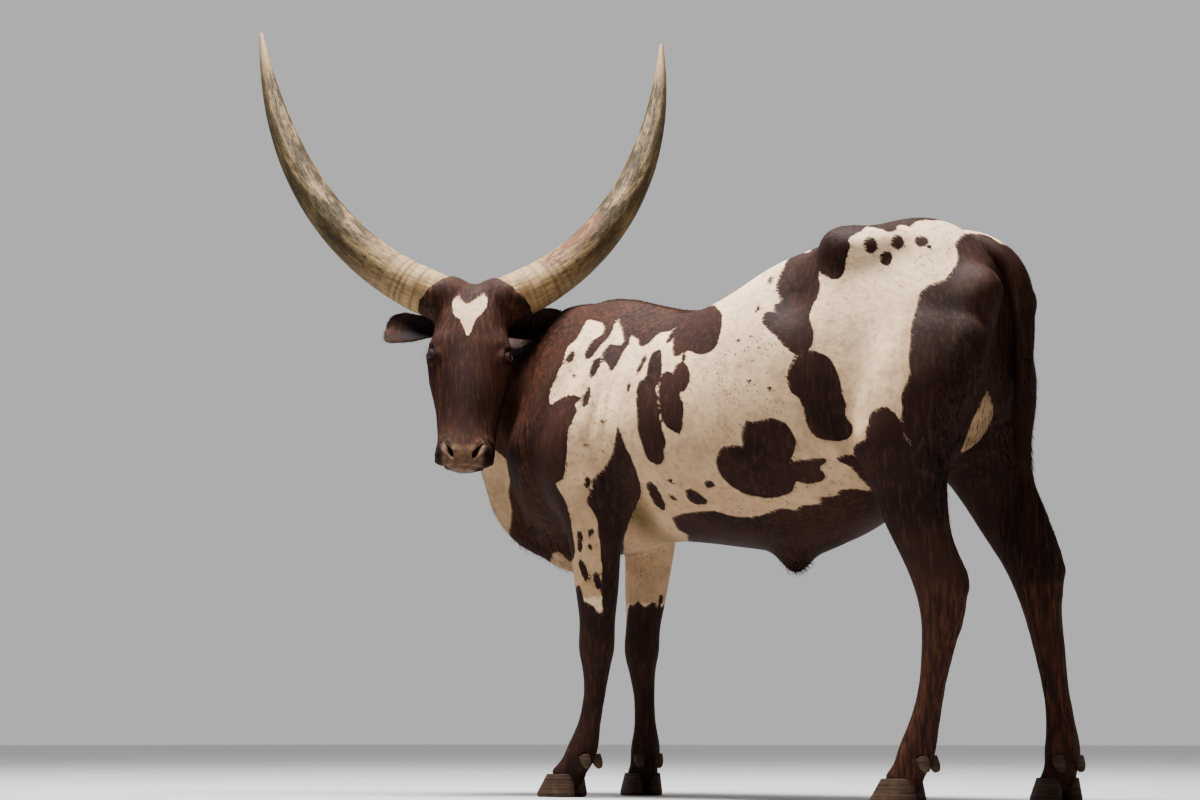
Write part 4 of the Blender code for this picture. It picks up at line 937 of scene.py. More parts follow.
# On the right side nothing is seen, so it has a pattern of the same kind: (x, z, half length, half width,
# degrees) in metres, then spots of cream inside the brown.
RIGHT_BROWN = [(-0.74, 1.08, 0.26, 0.42, 0), (-0.56, 1.25, 0.18, 0.11, -20), (-0.64, 0.88, 0.14, 0.3, 10),
    (-0.48, 0.98, 0.07, 0.11, 20), (-0.385, 1.11, 0.034, 0.07, 20), (-0.29, 1.175, 0.075, 0.055, -15),
    (-0.21, 0.99, 0.048, 0.12, -10), (-0.12, 1.13, 0.07, 0.05, 30), (-0.035, 0.93, 0.085, 0.07, 15),
    (0.045, 1.15, 0.045, 0.08, -25), (0.01, 0.76, 0.09, 0.052, 5), (0.165, 1.01, 0.06, 0.115, 18),
    (0.2, 1.225, 0.095, 0.05, 12), (0.25, 1.33, 0.09, 0.06, 0), (0.255, 0.81, 0.07, 0.045, -20),
    (0.33, 1.08, 0.04, 0.06, 10), (0.395, 1.25, 0.026, 0.024, 0), (0.45, 1.19, 0.024, 0.022, 0),
    (0.36, 1.19, 0.018, 0.02, 0), (0.74, 1.06, 0.2, 0.18, 10), (0.65, 0.8, 0.19, 0.26, 8),
    (0.64, 0.48, 0.3, 0.34, 0), (0.51, 0.72, 0.09, 0.12, 30), (-0.41, 0.18, 0.2, 0.26, 0),
    (-0.355, 0.72, 0.08, 0.12, -20), (0.05, 0.6, 0.25, 0.045, 0), (0.52, 1.385, 0.11, 0.04, 8),
    (0.33, 0.67, 0.14, 0.06, -15)]
RIGHT_CREAM = [(-0.7, 0.72, 0.05, 0.11, 25), (-0.56, 1.06, 0.03, 0.09, 15), (-0.5, 1.17, 0.022, 0.05, 25),
    (0.6, 0.96, 0.022, 0.035, 0)]
RIGHT_WANDER = 0.020  # metres by which the right side's patches stray from ovals
MARK_REACH = 0.030  # metres from a patch's edge beyond which its distance no longer counts
PIXELS_PER_METRE = 400
MIDLINE = (-0.010, 0.050)  # y between which the left side's markings give way to the right side's
# Outline of the cream mark on the forehead, as (x, z) in head space
BLAZE = [(0.03, -0.04), (0.04, -0.052), (0.036, -0.086), (0.014, -0.116), (-0.004, -0.166),
    (-0.016, -0.146), (-0.03, -0.118), (-0.048, -0.1), (-0.052, -0.066), (-0.04, -0.046), (-0.03, -0.054),
    (-0.018, -0.072), (-0.004, -0.066), (0.012, -0.054)]


def outline_distance(places, outline, reach):
    """Signed distance to a closed curve through the outline, above 0 inside, and no more than reach."""
    outline = np.array(outline + outline[:1], float)
    curve = np.array(smooth_rows(outline, 3))
    found = np.full(len(places), -reach)
    inside_box = ((places > curve.min(axis=0) - reach) & (places < curve.max(axis=0) + reach)).all(axis=1)
    index = np.flatnonzero(inside_box)
    x, y = places[index].T
    best = np.full(len(index), reach**2)
    inside = np.zeros(len(index), bool)
    for (x0, y0), (x1, y1) in zip(curve, curve[1:]):
        run, rise = x1 - x0, y1 - y0
        share = np.clip(((x - x0) * run + (y - y0) * rise) / (run**2 + rise**2 + 1e-12), 0, 1)
        best = np.minimum(best, (x - x0 - share * run) ** 2 + (y - y0 - share * rise) ** 2)
        if rise:
            inside ^= ((y0 > y) != (y1 > y)) & (x < x0 + run * (y - y0) / rise)
    found[index] = np.where(inside, 1, -1) * np.sqrt(best)
    return found


def oval_distance(places, oval):
    x, y, long, wide, degrees = oval
    c, s = math.cos(math.radians(degrees)), math.sin(math.radians(degrees))
    away = places - (x, y)
    u, v = away @ (c, s), away @ (-s, c)
    scaled = np.hypot(u / long, v / wide)
    return (1 - scaled) * min(long, wide) * np.where(scaled > 1, 0.8, 1.0)


def photo_places(points):
    """Where the photograph shows each point, in pixels."""
    turn, rise = math.radians(CAMERA_TURN), math.radians(CAMERA_RISE)
    ahead = np.array((-math.sin(turn) * math.cos(rise), math.cos(turn) * math.cos(rise), math.sin(rise)))
    right = np.array((math.cos(turn), math.sin(turn), 0.0))
    up = np.cross(right, ahead)
    away = points - CAMERA_PLACE
    scale = CAMERA_LENS / SENSOR * PHOTO_WIDTH / (away @ ahead)
    across, down = PHOTO_WIDTH / 2 + scale * (away @ right), PHOTO_HEIGHT / 2 - scale * (away @ up)
    return np.stack([across, down], axis=1)


def left_marks(points):
    places = photo_places(points)
    reach = MARK_REACH * PIXELS_PER_METRE
    marks = [outline_distance(places, outline, reach) for outline in LEFT_BROWN.values()]
    brown = np.maximum.reduce(marks + [oval_distance(places, oval) for oval in LEFT_SPOTS])
    for outline in LEFT_CREAM.values():
        brown = np.minimum(brown, -outline_distance(places, outline, reach))
    return brown / PIXELS_PER_METRE


def right_marks(points):
    x, z = points[:, 0], points[:, 2]
    bend = np.stack([
        np.sin(17 * z + 3) + 0.6 * np.sin(41 * z + 11 * x),
        np.sin(19 * x + 1) + 0.6 * np.sin(37 * x - 13 * z)], axis=1)
    places = points[:, [0, 2]] + RIGHT_WANDER * bend
    brown = np.maximum.reduce([oval_distance(places, oval) for oval in RIGHT_BROWN])
    cream = np.maximum.reduce([oval_distance(places, oval) for oval in RIGHT_CREAM])
    return np.minimum(np.maximum(brown, -MARK_REACH), -cream)


def right_foreleg_marks(points):
    """Cream above, dark below a ragged line that falls towards the front, and the last of the spots."""
    edge = 0.496 - 0.055 * ramp(-points[:, 0], 0.445, 0.475)
    edge += 0.005 * np.sin(points[:, 0] * 190) + 0.004 * np.sin(points[:, 1] * 310 + 1)
    spot = oval_distance(photo_places(points), LEFT_SPOTS[-1]) / PIXELS_PER_METRE
    return np.maximum(edge - points[:, 2], spot)


def brown_field(points, regions):
    """Distance inside the brown, in metres, for each point."""
    left, right = left_marks(points), right_marks(points)
    over = ramp(points[:, 1], *MIDLINE)
    brown = left * (1 - over) + right * over
    brown = np.where(np.isin(regions, ("fore_left", "hind_left")), left, brown)
    brown = np.where(regions == "hind_right", np.maximum(left, right), brown)
    brown[np.isin(regions, ("ear_left", "ear_right", "tail"))] = MARK_REACH
    leg, head = regions == "fore_right", regions == "head"
    brown[leg] = right_foreleg_marks(points[leg])
    local = in_head_space(points[head])
    front = ramp(local[:, 1], 0.03, 0.05)
    blaze = outline_distance(local[:, [0, 2]], BLAZE, MARK_REACH)
    brown[head] = -blaze * (1 - front) + MARK_REACH * front
    return np.clip(brown, -MARK_REACH, MARK_REACH)


# ---- Regions and the lie of the coat ----
FLOW_ROUNDS = 14
CHART_MARGIN = 0.02
HAIR_CROWN = (0.0, -0.04, -0.175)  # in head space; the face's hair radiates from here


def in_ear(points, which, side):
    """x along the ear, y away from its hollow, z across it."""
    return moved(points, ear_matrix(which, side).inverted())


def name_regions(points):
    """The name of the region that each point of the skin belongs to."""
    x, y, z = points.T
    regions = np.full(len(points), "trunk", dtype="U12")
    regions[x < -0.56] = "neck"
    low = np.flatnonzero(z < 0.70)
    nearest = np.full(len(low), 0.16)
    for leg, joints in LEG_JOINTS.items():
        away, _ = path_distance(points[low], joints, 3)
        regions[low[away < nearest]] = leg
        nearest = np.minimum(nearest, away)
    local = in_head_space(points)
    back = 0.20 - 0.5 * ramp(-local[:, 2], 0.30, 0.56) * 0.20
    regions[in_box(local, np.where(local[:, 2] > -0.11, 0.165, 0.145), back, -0.59, 0.08)] = "head"
    for which, side in SIDES:
        along, out, across = in_ear(points, which, side).T
        ear = (along < EAR_LENGTH * 1.02) & (abs(across) < 0.058) & (abs(out) < 0.045)
        ear &= along > 0.022 + 0.03 * (abs(out) > 0.02)
        regions[ear & (local[:, 0] * side > 0.085)] = f"ear_{which}"
    away, place = path_distance(points, TAIL_PATH)
    tail = (away < np.interp(place, np.arange(len(TAIL)), TAIL_RADII) * 1.12) & (place > 1.6)
    regions[tail & (x > 0.70) & (abs(y - 0.045) < 0.045)] = "tail"
    return regions


def along_path(points, path):
    """The direction of the path beside each point."""
    path = np.array(path)
    _, place = path_distance(points, path)
    step = np.minimum(place.astype(int), len(path) - 2)
    along = path[step + 1] - path[step]
    return along / np.linalg.norm(along, axis=1)[:, None]


def tangent(vectors, normals):
    return unit(vectors - (vectors * normals).sum(axis=1)[:, None] * normals)


def hair_flow(mesh, regions):
    """Unit tangents along which the hair lies, smoothed over the edges of the mesh."""
    points, normals = points_of(mesh), normals_of(mesh)
    x, y, z = points.T
    back = ramp(x, 0.45, 0.72)
    fall = -0.12 - 0.75 * ramp(z, 1.25, 0.80) - 0.8 * back
    flow = np.stack([0.95 - 0.45 * back, 0.10 * np.sign(y), fall], axis=1)
    flow[np.isin(regions, list(LEG_JOINTS))] = (0.15, 0.0, -1.0)
    neck, head, tail = x < -0.50, regions == "head", regions == "tail"
    flow[neck] = along_path(points[neck], [centre for centre, _, _ in NECK[::-1]]) + (0, 0, -0.45)
    local = in_head_space(points[head])
    radiate = local - HAIR_CROWN
    radiate /= np.linalg.norm(radiate, axis=1)[:, None]
    radiate[:, 2] -= 0.5 * ramp(-local[:, 2], 0.20, 0.30)
    flow[head] = radiate @ np.array(head_matrix())[:3, :3].T
    for which, side in SIDES:
        flow[regions == f"ear_{which}"] = np.array(ear_matrix(which, side))[:3, 0] + (0, 0, -0.15)
    flow[tail] = along_path(points[tail], TAIL_PATH)
    means = neighbour_means(mesh)
    for _ in range(FLOW_ROUNDS):
        flow = tangent(flow, normals)
        flow = 0.3 * flow + 0.7 * means(flow)
    return tangent(flow, normals)


def charted(share):
    """A place in the chart, which keeps a margin along its edges."""
    return CHART_MARGIN + (1 - 2 * CHART_MARGIN) * share


def turn_share(y, x):
    return np.arctan2(y, x) / (2 * math.pi) + 0.5


def unwrap(points, normals, regions):
    """A place in a flat chart for each point of the skin: each region is rolled out round its own axis."""
    across = charted(np.clip((points[:, 0] + 0.95) / 1.75, 0, 1))
    chart = np.stack([across, charted(turn_share(points[:, 1], points[:, 2] - 0.95))], axis=1)
    for i, (leg, joints) in enumerate(LEG_JOINTS.items()):
        chosen = regions == leg
        x, y, z = points[chosen].T
        joints = np.array(joints)[::-1]
        middle_x, middle_y = (np.interp(z, joints[:, 2], joints[:, k]) for k in (0, 1))
        chart[chosen, 0] = CHART_MARGIN + 0.46 * (turn_share(y - middle_y, x - middle_x) + i % 2 * 1.04)
        chart[chosen, 1] = charted(np.clip(z / 0.72, 0, 1))
    chosen = regions == "head"
    x, y, z = in_head_space(points[chosen]).T
    chart[chosen, 0] = charted(turn_share(x, 0.06 - y))
    chart[chosen, 1] = 0.22 + 0.76 * np.clip((z + 0.56) / 0.64, 0, 1)
    for i, (which, side) in enumerate(SIDES):
        chosen = regions == f"ear_{which}"
        x, y, z = in_ear(points[chosen], which, side).T
        facing = in_ear(points[chosen] + normals[chosen], which, side)[:, 1] < y
        chart[chosen, 0] = CHART_MARGIN + 0.24 * (x / EAR_LENGTH * 0.94 + 2 * i + facing)
        chart[chosen, 1] = CHART_MARGIN + 0.16 * np.clip(z / 0.10 + 0.5, 0, 1)
    chosen = regions == "tail"
    x, y, _ = points[chosen].T
    chart[chosen, 0] = charted(turn_share(y - 0.046, x - 0.755))
    chart[chosen, 1] = charted(path_distance(points[chosen], TAIL_PATH)[1] / (len(TAIL) - 1))
    return chart


TINTS = ("brown", "bare", "red", "tan", "painted_shade")
EAR_SHADE = {"left": 0.55, "right": 0.95}  # inside their cups
# Middle and reach of the darkening in the armpit, which is mostly painted shade.
ARMPIT, ARMPIT_REACH = (-0.24, 0.0, 0.70), (0.12, FAR, 0.13)


class Hide:
    """The skin as arrays, with what the coat needs to know at each point."""

    def __init__(self, skin):
        mesh = skin.data
        self.points, self.normals = points_of(mesh), normals_of(mesh)
        self.regions = name_regions(self.points)
        self.flow = hair_flow(mesh, self.regions)
        self.chart = unwrap(self.points, self.normals, self.regions)
        self.brown = brown_field(self.points, self.regions)
        self.local = in_head_space(self.points)
        self.bare, self.painted_shade = self.bare_and_painted_shade()
        self.red, self.tan = self.red_and_tan_with_painted_light()
        self.hairy = 1 - np.clip(1.25 * self.bare, 0, 1)
        mesh.calc_loop_triangles()
        self.triangles = array_of(mesh.loop_triangles, "vertices", 3, int)
        a, b, c = (self.points[self.triangles[:, k]] for k in range(3))
        self.areas = np.linalg.norm(np.cross(b - a, c - a), axis=1) / 2

    def bare_and_painted_shade(self):
        """Shares of bare skin on muzzle and lids, and of painted shade in nostrils, lids, ears and lips; on
        the lids it is partly their own dark skin.
        """
        x, y, z = self.local.T
        head = self.regions == "head"
        pad = ramp(-z, 0.464, 0.480) * (1 - ramp(abs(x) + 0.9 * np.maximum(y + 0.035, 0), 0.048, 0.062))
        chin = ramp(-z, 0.528, 0.536) * (1 - ramp(y, 0.01, 0.04))
        bare = [pad, 0.7 * chin]
        # Painted shade on the sides of the muzzle beside the nostrils.
        painted_shade = [0.7 * ramp(abs(x), 0.046, 0.060) * ramp(-z, 0.440, 0.465) * head]
        for which, side in SIDES:
            eye = moved(self.local, eye_frame(side).inverted())
            gape = opening(eye[:, 0], eye[:, 1])
            by_ball = (eye[:, 2] > 0) * (eye[:, 2] < 0.05)
            nostril = np.array([point for point, _, _ in NOSTRIL]) * (side, 1, 1)
            inside = nostril + 0.022 * np.array(NOSTRIL_INWARD) * (side, 1, 1)
            bare += [
                0.15 * (1 - ramp(gape, 1.02, 1.12)) * by_ball * (gape < 2),
                1 - ramp(line_distance(self.local, nostril)[0], 0.006, 0.012),
            ]
            along, out, across = in_ear(self.points, which, side).T
            cup = (1 - ramp(along, 0.10, 0.18)) * (1 - ramp(abs(across), 0.022, 0.050))
            facing = in_ear(self.points + self.normals, which, side)[:, 1] < out
            painted_shade += [
                # painted shade far inside the nostril
                1 - ramp(line_distance(self.local, inside)[0], 0.009, 0.015),
                # painted shade in the opening round the eyeball
                0.85 * (1 - ramp(gape, 0.98, 1.30)) * by_ball,
                # darker lids: partly their own dark skin, partly painted shade
                0.65 * (1 - ramp(gape, 1.3, 2.3)) * by_ball,
                # painted shade inside the ear's cup, stronger on the right ear
                EAR_SHADE[which] * cup * (self.regions == f"ear_{which}") * facing,
            ]
        return np.where(head, np.maximum.reduce(bare), 0.0), np.maximum.reduce(painted_shade)

    def red_and_tan_with_painted_light(self):
        """Shares of red in the brown, partly painted light, and of tan in the cream, partly painted shade."""
        head = self.regions == "head"
        x, _, z = self.points.T
        red = [
            head * 0.60 * ramp(-self.local[:, 2], 0.38, 0.46),
            head * 0.55 * ramp(abs(self.local[:, 0]), 0.045, 0.080),
            0.35 * np.char.startswith(self.regions, "ear"),
            0.5 * ramp(x, 0.70, 0.76) * ramp(z, 1.05, 1.20),
            0.9 * (self.regions == "neck"),
            0.7 * ramp(z, 1.10, 1.24) * ramp(-x, -0.10, 0.20),
            # lower hind legs: partly their own red, partly painted light that brightens them
            0.9 * (z < 0.50) * (x > 0.2),
        ]
        tan = [
            # lower on the sides: partly dirt, partly painted shade
            ramp(-z, -1.26, -0.66) * (z > 0.5),
            # the front of the shoulder: painted shade, partly dirt
            0.95 * ramp(-x, 0.40, 0.56) * ramp(-z, -1.28, -1.00),
            # the armpit: painted shade, partly ochre dirt
            1.5 * np.exp(-(((self.points - ARMPIT) / ARMPIT_REACH) ** 2).sum(axis=1)),
            # behind the thighs: the real ochre strip beside the tail, and painted shade on the backs of the
            # thighs
            1.2 * ramp(x, 0.56, 0.64) * ramp(-z, -1.18, -1.10),
        ]
        return np.maximum.reduce(red), np.maximum.reduce(tan)

    def roots(self, weight, count, rng):
        """count places spread evenly over the skin where weight (per point) is above 0."""
        share = self.areas * weight[self.triangles].mean(axis=1)
        total = np.cumsum(share)
        picks = (np.arange(count) + rng.random(count)) * total[-1] / count
        index = np.minimum(np.searchsorted(total, picks), len(total) - 1)
        u, v = rng.random((2, count))
        flip = u + v > 1
        u, v = np.where(flip, 1 - u, u), np.where(flip, 1 - v, v)
        shares = np.stack([1 - u - v, u, v], axis=1)
        corners = self.triangles[index]
        nearest = corners[np.arange(count), shares.argmax(axis=1)]
        names = ("points", "normals", "flow", *TINTS)
        found = {name: np.einsum("ij,ij...->i...", shares, getattr(self, name)[corners]) for name in names}
        found["chart"] = self.chart[nearest]
        found["brown"] = brown_field(found["points"], self.regions[nearest])
        for name in ("normals", "flow"):
            found[name] = unit(found[name])
        return found


# ---- The coat ----


def set_value(mesh, name, values):
    """A number, or a vector, on each point of the mesh."""
    vector = values.ndim > 1
    layer = mesh.attributes.new(name, "FLOAT_VECTOR" if vector else "FLOAT", "POINT")
    layer.data.foreach_set("vector" if vector else "value", np.ascontiguousarray(values, np.float32).ravel())


finished = {}  # each piece with its material slot


def finish_piece(obj, slot, *nodes):
    """Smooths the piece, notes its slot, and hides the solids that it stands for."""
    obj.data.shade_smooth()
    finished[obj] = slot
    if nodes:
        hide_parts(*nodes)


OWN_SHADE = 0.35  # how far the sides of a lock turn away from the skin's own direction
LOCK_VARIATION = (0.75, 1.25)  # of length and width
LOCK_SINK = 0.0003  # metres by which locks start below the skin
LOCK_HEIGHT = 0.35  # of a lock's ridge, in halves of its width
STRANDS, STRAND_RADIUS = 900, 0.0011  # of the tail's long hair
PATCH_RADIUS = 0.0015  # of a strand's patch in the OFBake map


def add_strands(name, corners, values, chart, rng):
    """A mesh of three-sided strands, from the corners of each: sections from its root, and then its tip.

    Each strand has its own values, and is a patch in the OFBake map at its place in the chart.
    """
    count, each, _ = corners.shape
    tip = each - 1
    pattern = []
    for a in range(0, tip - 3, 3):
        for j, k in ((0, 1), (1, 2), (2, 0)):
            pattern += [(a + j, a + 3 + k, a + k), (a + j, a + 3 + j, a + 3 + k)]
    pattern += [(tip - 3 + j, tip - 3 + k, tip) for j, k in ((0, 2), (2, 1), (1, 0))]
    faces = (np.arange(count)[:, None, None] * each + np.array(pattern)).reshape(-1, 3)
    mesh = mesh_from(name, corners.reshape(-1, 3), faces)
    for key, value in (values | {"shade": rng.random(count)}).items():
        set_value(mesh, key, np.repeat(value, each, axis=0))
    angles = 2 * np.pi * np.arange(each) / each
    patch = PATCH_RADIUS * np.stack([np.cos(angles), np.sin(angles)], axis=1)
    places = (chart[:, None, :] + patch).reshape(-1, 2)[faces.ravel()]
    mesh.uv_layers.new(name="OFBake").data.foreach_set("uv", places.astype(np.float32).ravel())
    return add_object(name, mesh)


def make_locks(name, roots, length, width, lift, rng, steps=1, droop=0.0, spread=0.22):
    """Thin locks that leave the skin at the lift (radians), lie along the flow and bend towards the floor."""
    count = len(roots["points"])
    length = length * rng.uniform(*LOCK_VARIATION, count)
    width = width * rng.uniform(*LOCK_VARIATION, count)
    normal, flow = roots["normals"], roots["flow"]
    side = np.cross(normal, flow)
    turn = rng.normal(0, spread, count)[:, None]
    flow, side = np.cos(turn) * flow + np.sin(turn) * side, np.cos(turn) * side - np.sin(turn) * flow
    lift = (lift * rng.uniform(0.5, 1.5, count))[:, None]
    heading = np.cos(lift) * flow + np.sin(lift) * normal
    start = roots["points"] - normal * LOCK_SINK
    corners = []
    for i in range(steps + 1):
        share = i / steps
        centre = start + heading * (length * share)[:, None]
        centre[:, 2] -= droop * length * share**2
        half = (width * (1 - 0.75 * share**1.5) / 2)[:, None]
        ridge = centre + normal * half * LOCK_HEIGHT + flow * half
        corners += [centre + side * half, centre - side * half, ridge] if i < steps else [centre]
    values = {key: roots[key] for key in TINTS} | {"root": roots["points"]}
    obj = add_strands(name, np.stack(corners, axis=1), values, roots["chart"], rng)
    finish_piece(obj, "hide_brown")
    # Locks shade much like the skin they lie on, as hair does, and not like the facets they are made of.
    leaning = [normal + OWN_SHADE * side, normal - OWN_SHADE * side, normal] * steps + [normal]
    obj.data.normals_split_custom_set_from_vertices(unit(np.stack(leaning, axis=1).reshape(-1, 3)))


# ---- Horns, hooves, eyes and the switch ----
HORN_STEPS, HORN_AROUND, SPINE_STEPS = 260, 56, 13
RING_COUNT, RING_WIDTH, RING_DEPTH = 24, 0.0032, 0.0011  # width as a share of the horn's length
STAIN_ANGLE, STAIN_PLACE = (5.25, 0.55), (0.27, 0.13)  # middle and half size, round and along the left horn
HOOF_TOP, CLAW_WIDTH, CLAW_CLEFT, GAP = 0.058, 0.049, 0.003, 0.0004
# (share of the height, length in front, length behind, share of the width)
CLAW_SHAPE = [(0.0, 0.066, 0.046, 1.0), (0.2, 0.065, 0.048, 1.02), (1.0, 0.036, 0.04, 0.9)]
DEWCLAW_ROOT, DEWCLAW_REACH = (-0.022, 0.026, -0.016), (-0.013, -0.030)
DEWCLAW_RADII = [(0.0, 0.0135), (0.6, 0.0125), (1.0, 0.007), (1.04, 0.003)]  # the last rounds its tip


def horn_spine(which):
    """Points along the middle of the horn, in head space for the left side."""
    length, first, last, early = HORNS[which]
    spine = [np.array(HORN_ROOT)]
    for i in range(SPINE_STEPS):
        share = (i + 0.5) / SPINE_STEPS
        heading = math.radians(first + (last - first) * (share + early * share * (1 - share)))
        step = np.array((math.cos(heading), 2 * HORN_SWEEP * share / length, math.sin(heading)))
        spine.append(spine[-1] + step * (length / SPINE_STEPS))
    return np.array(spine)


def horn(which, side):
    """The horn with growth rings near its root, and along, around, ring and stain values for its colours."""
    spine = horn_spine(which)
    shares, radii = np.array(HORN_RADII).T
    rng = np.random.default_rng(SEED + (side > 0))
    ring_places = np.cumsum(rng.uniform(0.008, 0.034, RING_COUNT)) + 0.03
    ring_depths = rng.uniform(0.0001, RING_DEPTH, RING_COUNT) * (1 - ramp(ring_places, 0.10, 0.40))
    points, around, ringed, stained = [], [], [], []
    for i in range(HORN_STEPS + 1):
        share = i / HORN_STEPS
        groove = float((ring_depths * bell(share - ring_places, RING_WIDTH)).sum())
        here, across, up = path_frame(spine, share * SPINE_STEPS, Z_AXIS)
        direction = across.cross(up).normalized()
        across = Y_AXIS.cross(direction).normalized()
        up = direction.cross(across)
        radius = (float(np.interp(share, shares, radii)) - groove) * (0.4 if i == HORN_STEPS else 1)
        for k in range(HORN_AROUND):
            angle = 2 * math.pi * k / HORN_AROUND
            c, s = math.cos(angle), math.sin(angle)
            ridge = 1 + 0.010 * math.sin(3 * angle + 5 * share) * (1 - share)
            ridge += 0.004 * math.sin(9 * angle + 2 * share)
            points.append(here + (across * c * radius + up * s * radius * HORN_FLATTEN) * ridge)
            around.append((c, s, share))
            ringed.append(min(1.0, groove / 0.0008))
            inside = 2.2 * (side > 0)
            for value, (middle, half) in ((angle, STAIN_ANGLE), (share, STAIN_PLACE)):
                inside *= max(0.0, 1 - ((value - middle) / half) ** 2)
            stained.append(min(1.0, inside))
    rows = np.arange(HORN_STEPS)[:, None] * HORN_AROUND
    k = np.arange(HORN_AROUND)
    after = (k + 1) % HORN_AROUND
    faces = np.stack([rows + k, rows + after, rows + HORN_AROUND + after, rows + HORN_AROUND + k], -1)
    mesh = mesh_from(f"horn_{which}", np.array(points), faces.reshape(-1, 4))
    around = np.array(around)
    for name, values in (("along", around[:, 2]), ("around", around), ("ring", ringed), ("stain", stained)):
        set_value(mesh, name, np.array(values))
    bm = bmesh.new()
    bm.from_mesh(mesh)
    bm.verts.ensure_lookup_table()
    bm.faces.new(bm.verts[-HORN_AROUND:])
    bm.faces.new(bm.verts[:HORN_AROUND][::-1])
    bm.transform(head_matrix() @ mirrored(side))
    bmesh.ops.recalc_face_normals(bm, faces=bm.faces)
    bm.to_mesh(mesh)
    bm.free()
    finish_piece(add_object(f"horn_{which}", mesh), "horn", f"horn_{which}")


def foot_frame(leg):
    """(middle of the foot on the floor, forward direction, direction towards the other legs) of a foot."""
    pastern, foot = Vector(LEG_JOINTS[leg][5]), Vector(LEG_JOINTS[leg][6])
    ahead = ((foot - pastern) * Vector((1, 1, 0))).normalized()
    inwards = Vector((0, 0, 1)).cross(ahead) * (-1 if leg.endswith("left") else 1)
    return Vector((foot.x, foot.y, 0)), ahead, inwards


def claw(name, leg, side):
    """One claw of a hoof: flat below, sloped in front, with growth rings in its wall."""
    middle, ahead, across = foot_frame(leg)
    levels = 30
    table = np.array(CLAW_SHAPE)
    rings = []
    for i in range(levels + 1):
        share = i / levels
        toe, heel, width = (float(np.interp(share, table[:, 0], table[:, k])) for k in (1, 2, 3))
        groove = 1 - 0.012 * max(0.0, math.sin(share * 38 + side)) - 0.05 * (i == 0) - 0.02 * (i == 1)
        half = width * CLAW_WIDTH / 2
        lift = Vector((0, 0, share * (HOOF_TOP - GAP)))
        centre = middle + ahead * (toe - heel) / 2 + lift + across * side * (CLAW_CLEFT / 2 + half)
        long = (toe + heel) / 2 * groove
        rings.append(ring(centre, across, ahead, half * groove, long, (2.3, 1.9), 48))
    finish_piece(loft(name, rings), "hoof", name)


def dewclaw(name, leg, side):
    """A small blunt cone behind the fetlock."""
    _, ahead, across = foot_frame(leg)
    forwards, inwards, up = DEWCLAW_ROOT
    back, down = DEWCLAW_REACH
    root = Vector(LEG_JOINTS[leg][5]) + ahead * forwards + across * side * inwards + Vector((0, 0, up))
    tip = root + ahead * back + Vector((0, 0, down))
    stations = [(root.lerp(tip, share), radius) for share, radius in DEWCLAW_RADII]
    finish_piece(round_tube(name, stations, 20, 5), "hoof", name)


def eyeball(which, side):
    """A ball with a clear bulge in front, and its place along and across the slit for its colours."""
    bm = bmesh.new()
    bmesh.ops.create_uvsphere(bm, u_segments=48, v_segments=32, radius=EYE_RADIUS)
    for vert in bm.verts:
        off_axis = math.hypot(vert.co.x, vert.co.y) / EYE_RADIUS
        if vert.co.z > 0:
            vert.co.z += EYE_BULGE * (1 - float(ramp(np.array(off_axis), 0.3, 0.72)))
    places = np.array([vert.co / EYE_RADIUS for vert in bm.verts])
    bm.transform(head_matrix() @ eye_frame(side))
    obj = object_from(f"eye_{which}", bm)
    set_value(obj.data, "eye_place", places)
    finish_piece(obj, "eye", f"eye_{which}")


def lash_roots(rng):
    """Places along the rims of the lids, with the lashes' directions, for both eyes."""
    length, high, low = LID_OPENING
    rows = []
    for _, side in SIDES:
        matrix = head_matrix() @ eye_frame(side)
        turn = matrix.to_3x3()
        for sign, count, half_height, rise in ((1, 46, high, 0.35), (-1, 16, low, -0.2)):
            for i in range(count):
                share = (i + rng.random()) / count
                angle = math.pi * (0.10 + 0.80 * share) * sign
                s = math.cos(angle) * length * 1.05
                t = math.copysign(abs(math.sin(angle)) ** 1.25, angle) * half_height * 1.06
                h = math.sqrt(LID_RADIUS**2 - s * s - t * t)
                out = Vector((s * 12, t * 22 + rise, 0.9)).normalized()
                rows.append((matrix @ Vector((s, t, h)), turn @ out, turn @ Z_AXIS))
    names = ("points", "flow", "normals")
    found = {name: np.array([tuple(row[k]) for row in rows]) for k, name in enumerate(names)}
    found |= {name: np.zeros(len(rows)) for name in TINTS}
    found["brown"] += MARK_REACH
    found["chart"] = np.random.default_rng(SEED).uniform(0.1, 0.9, (len(rows), 2))
    return found


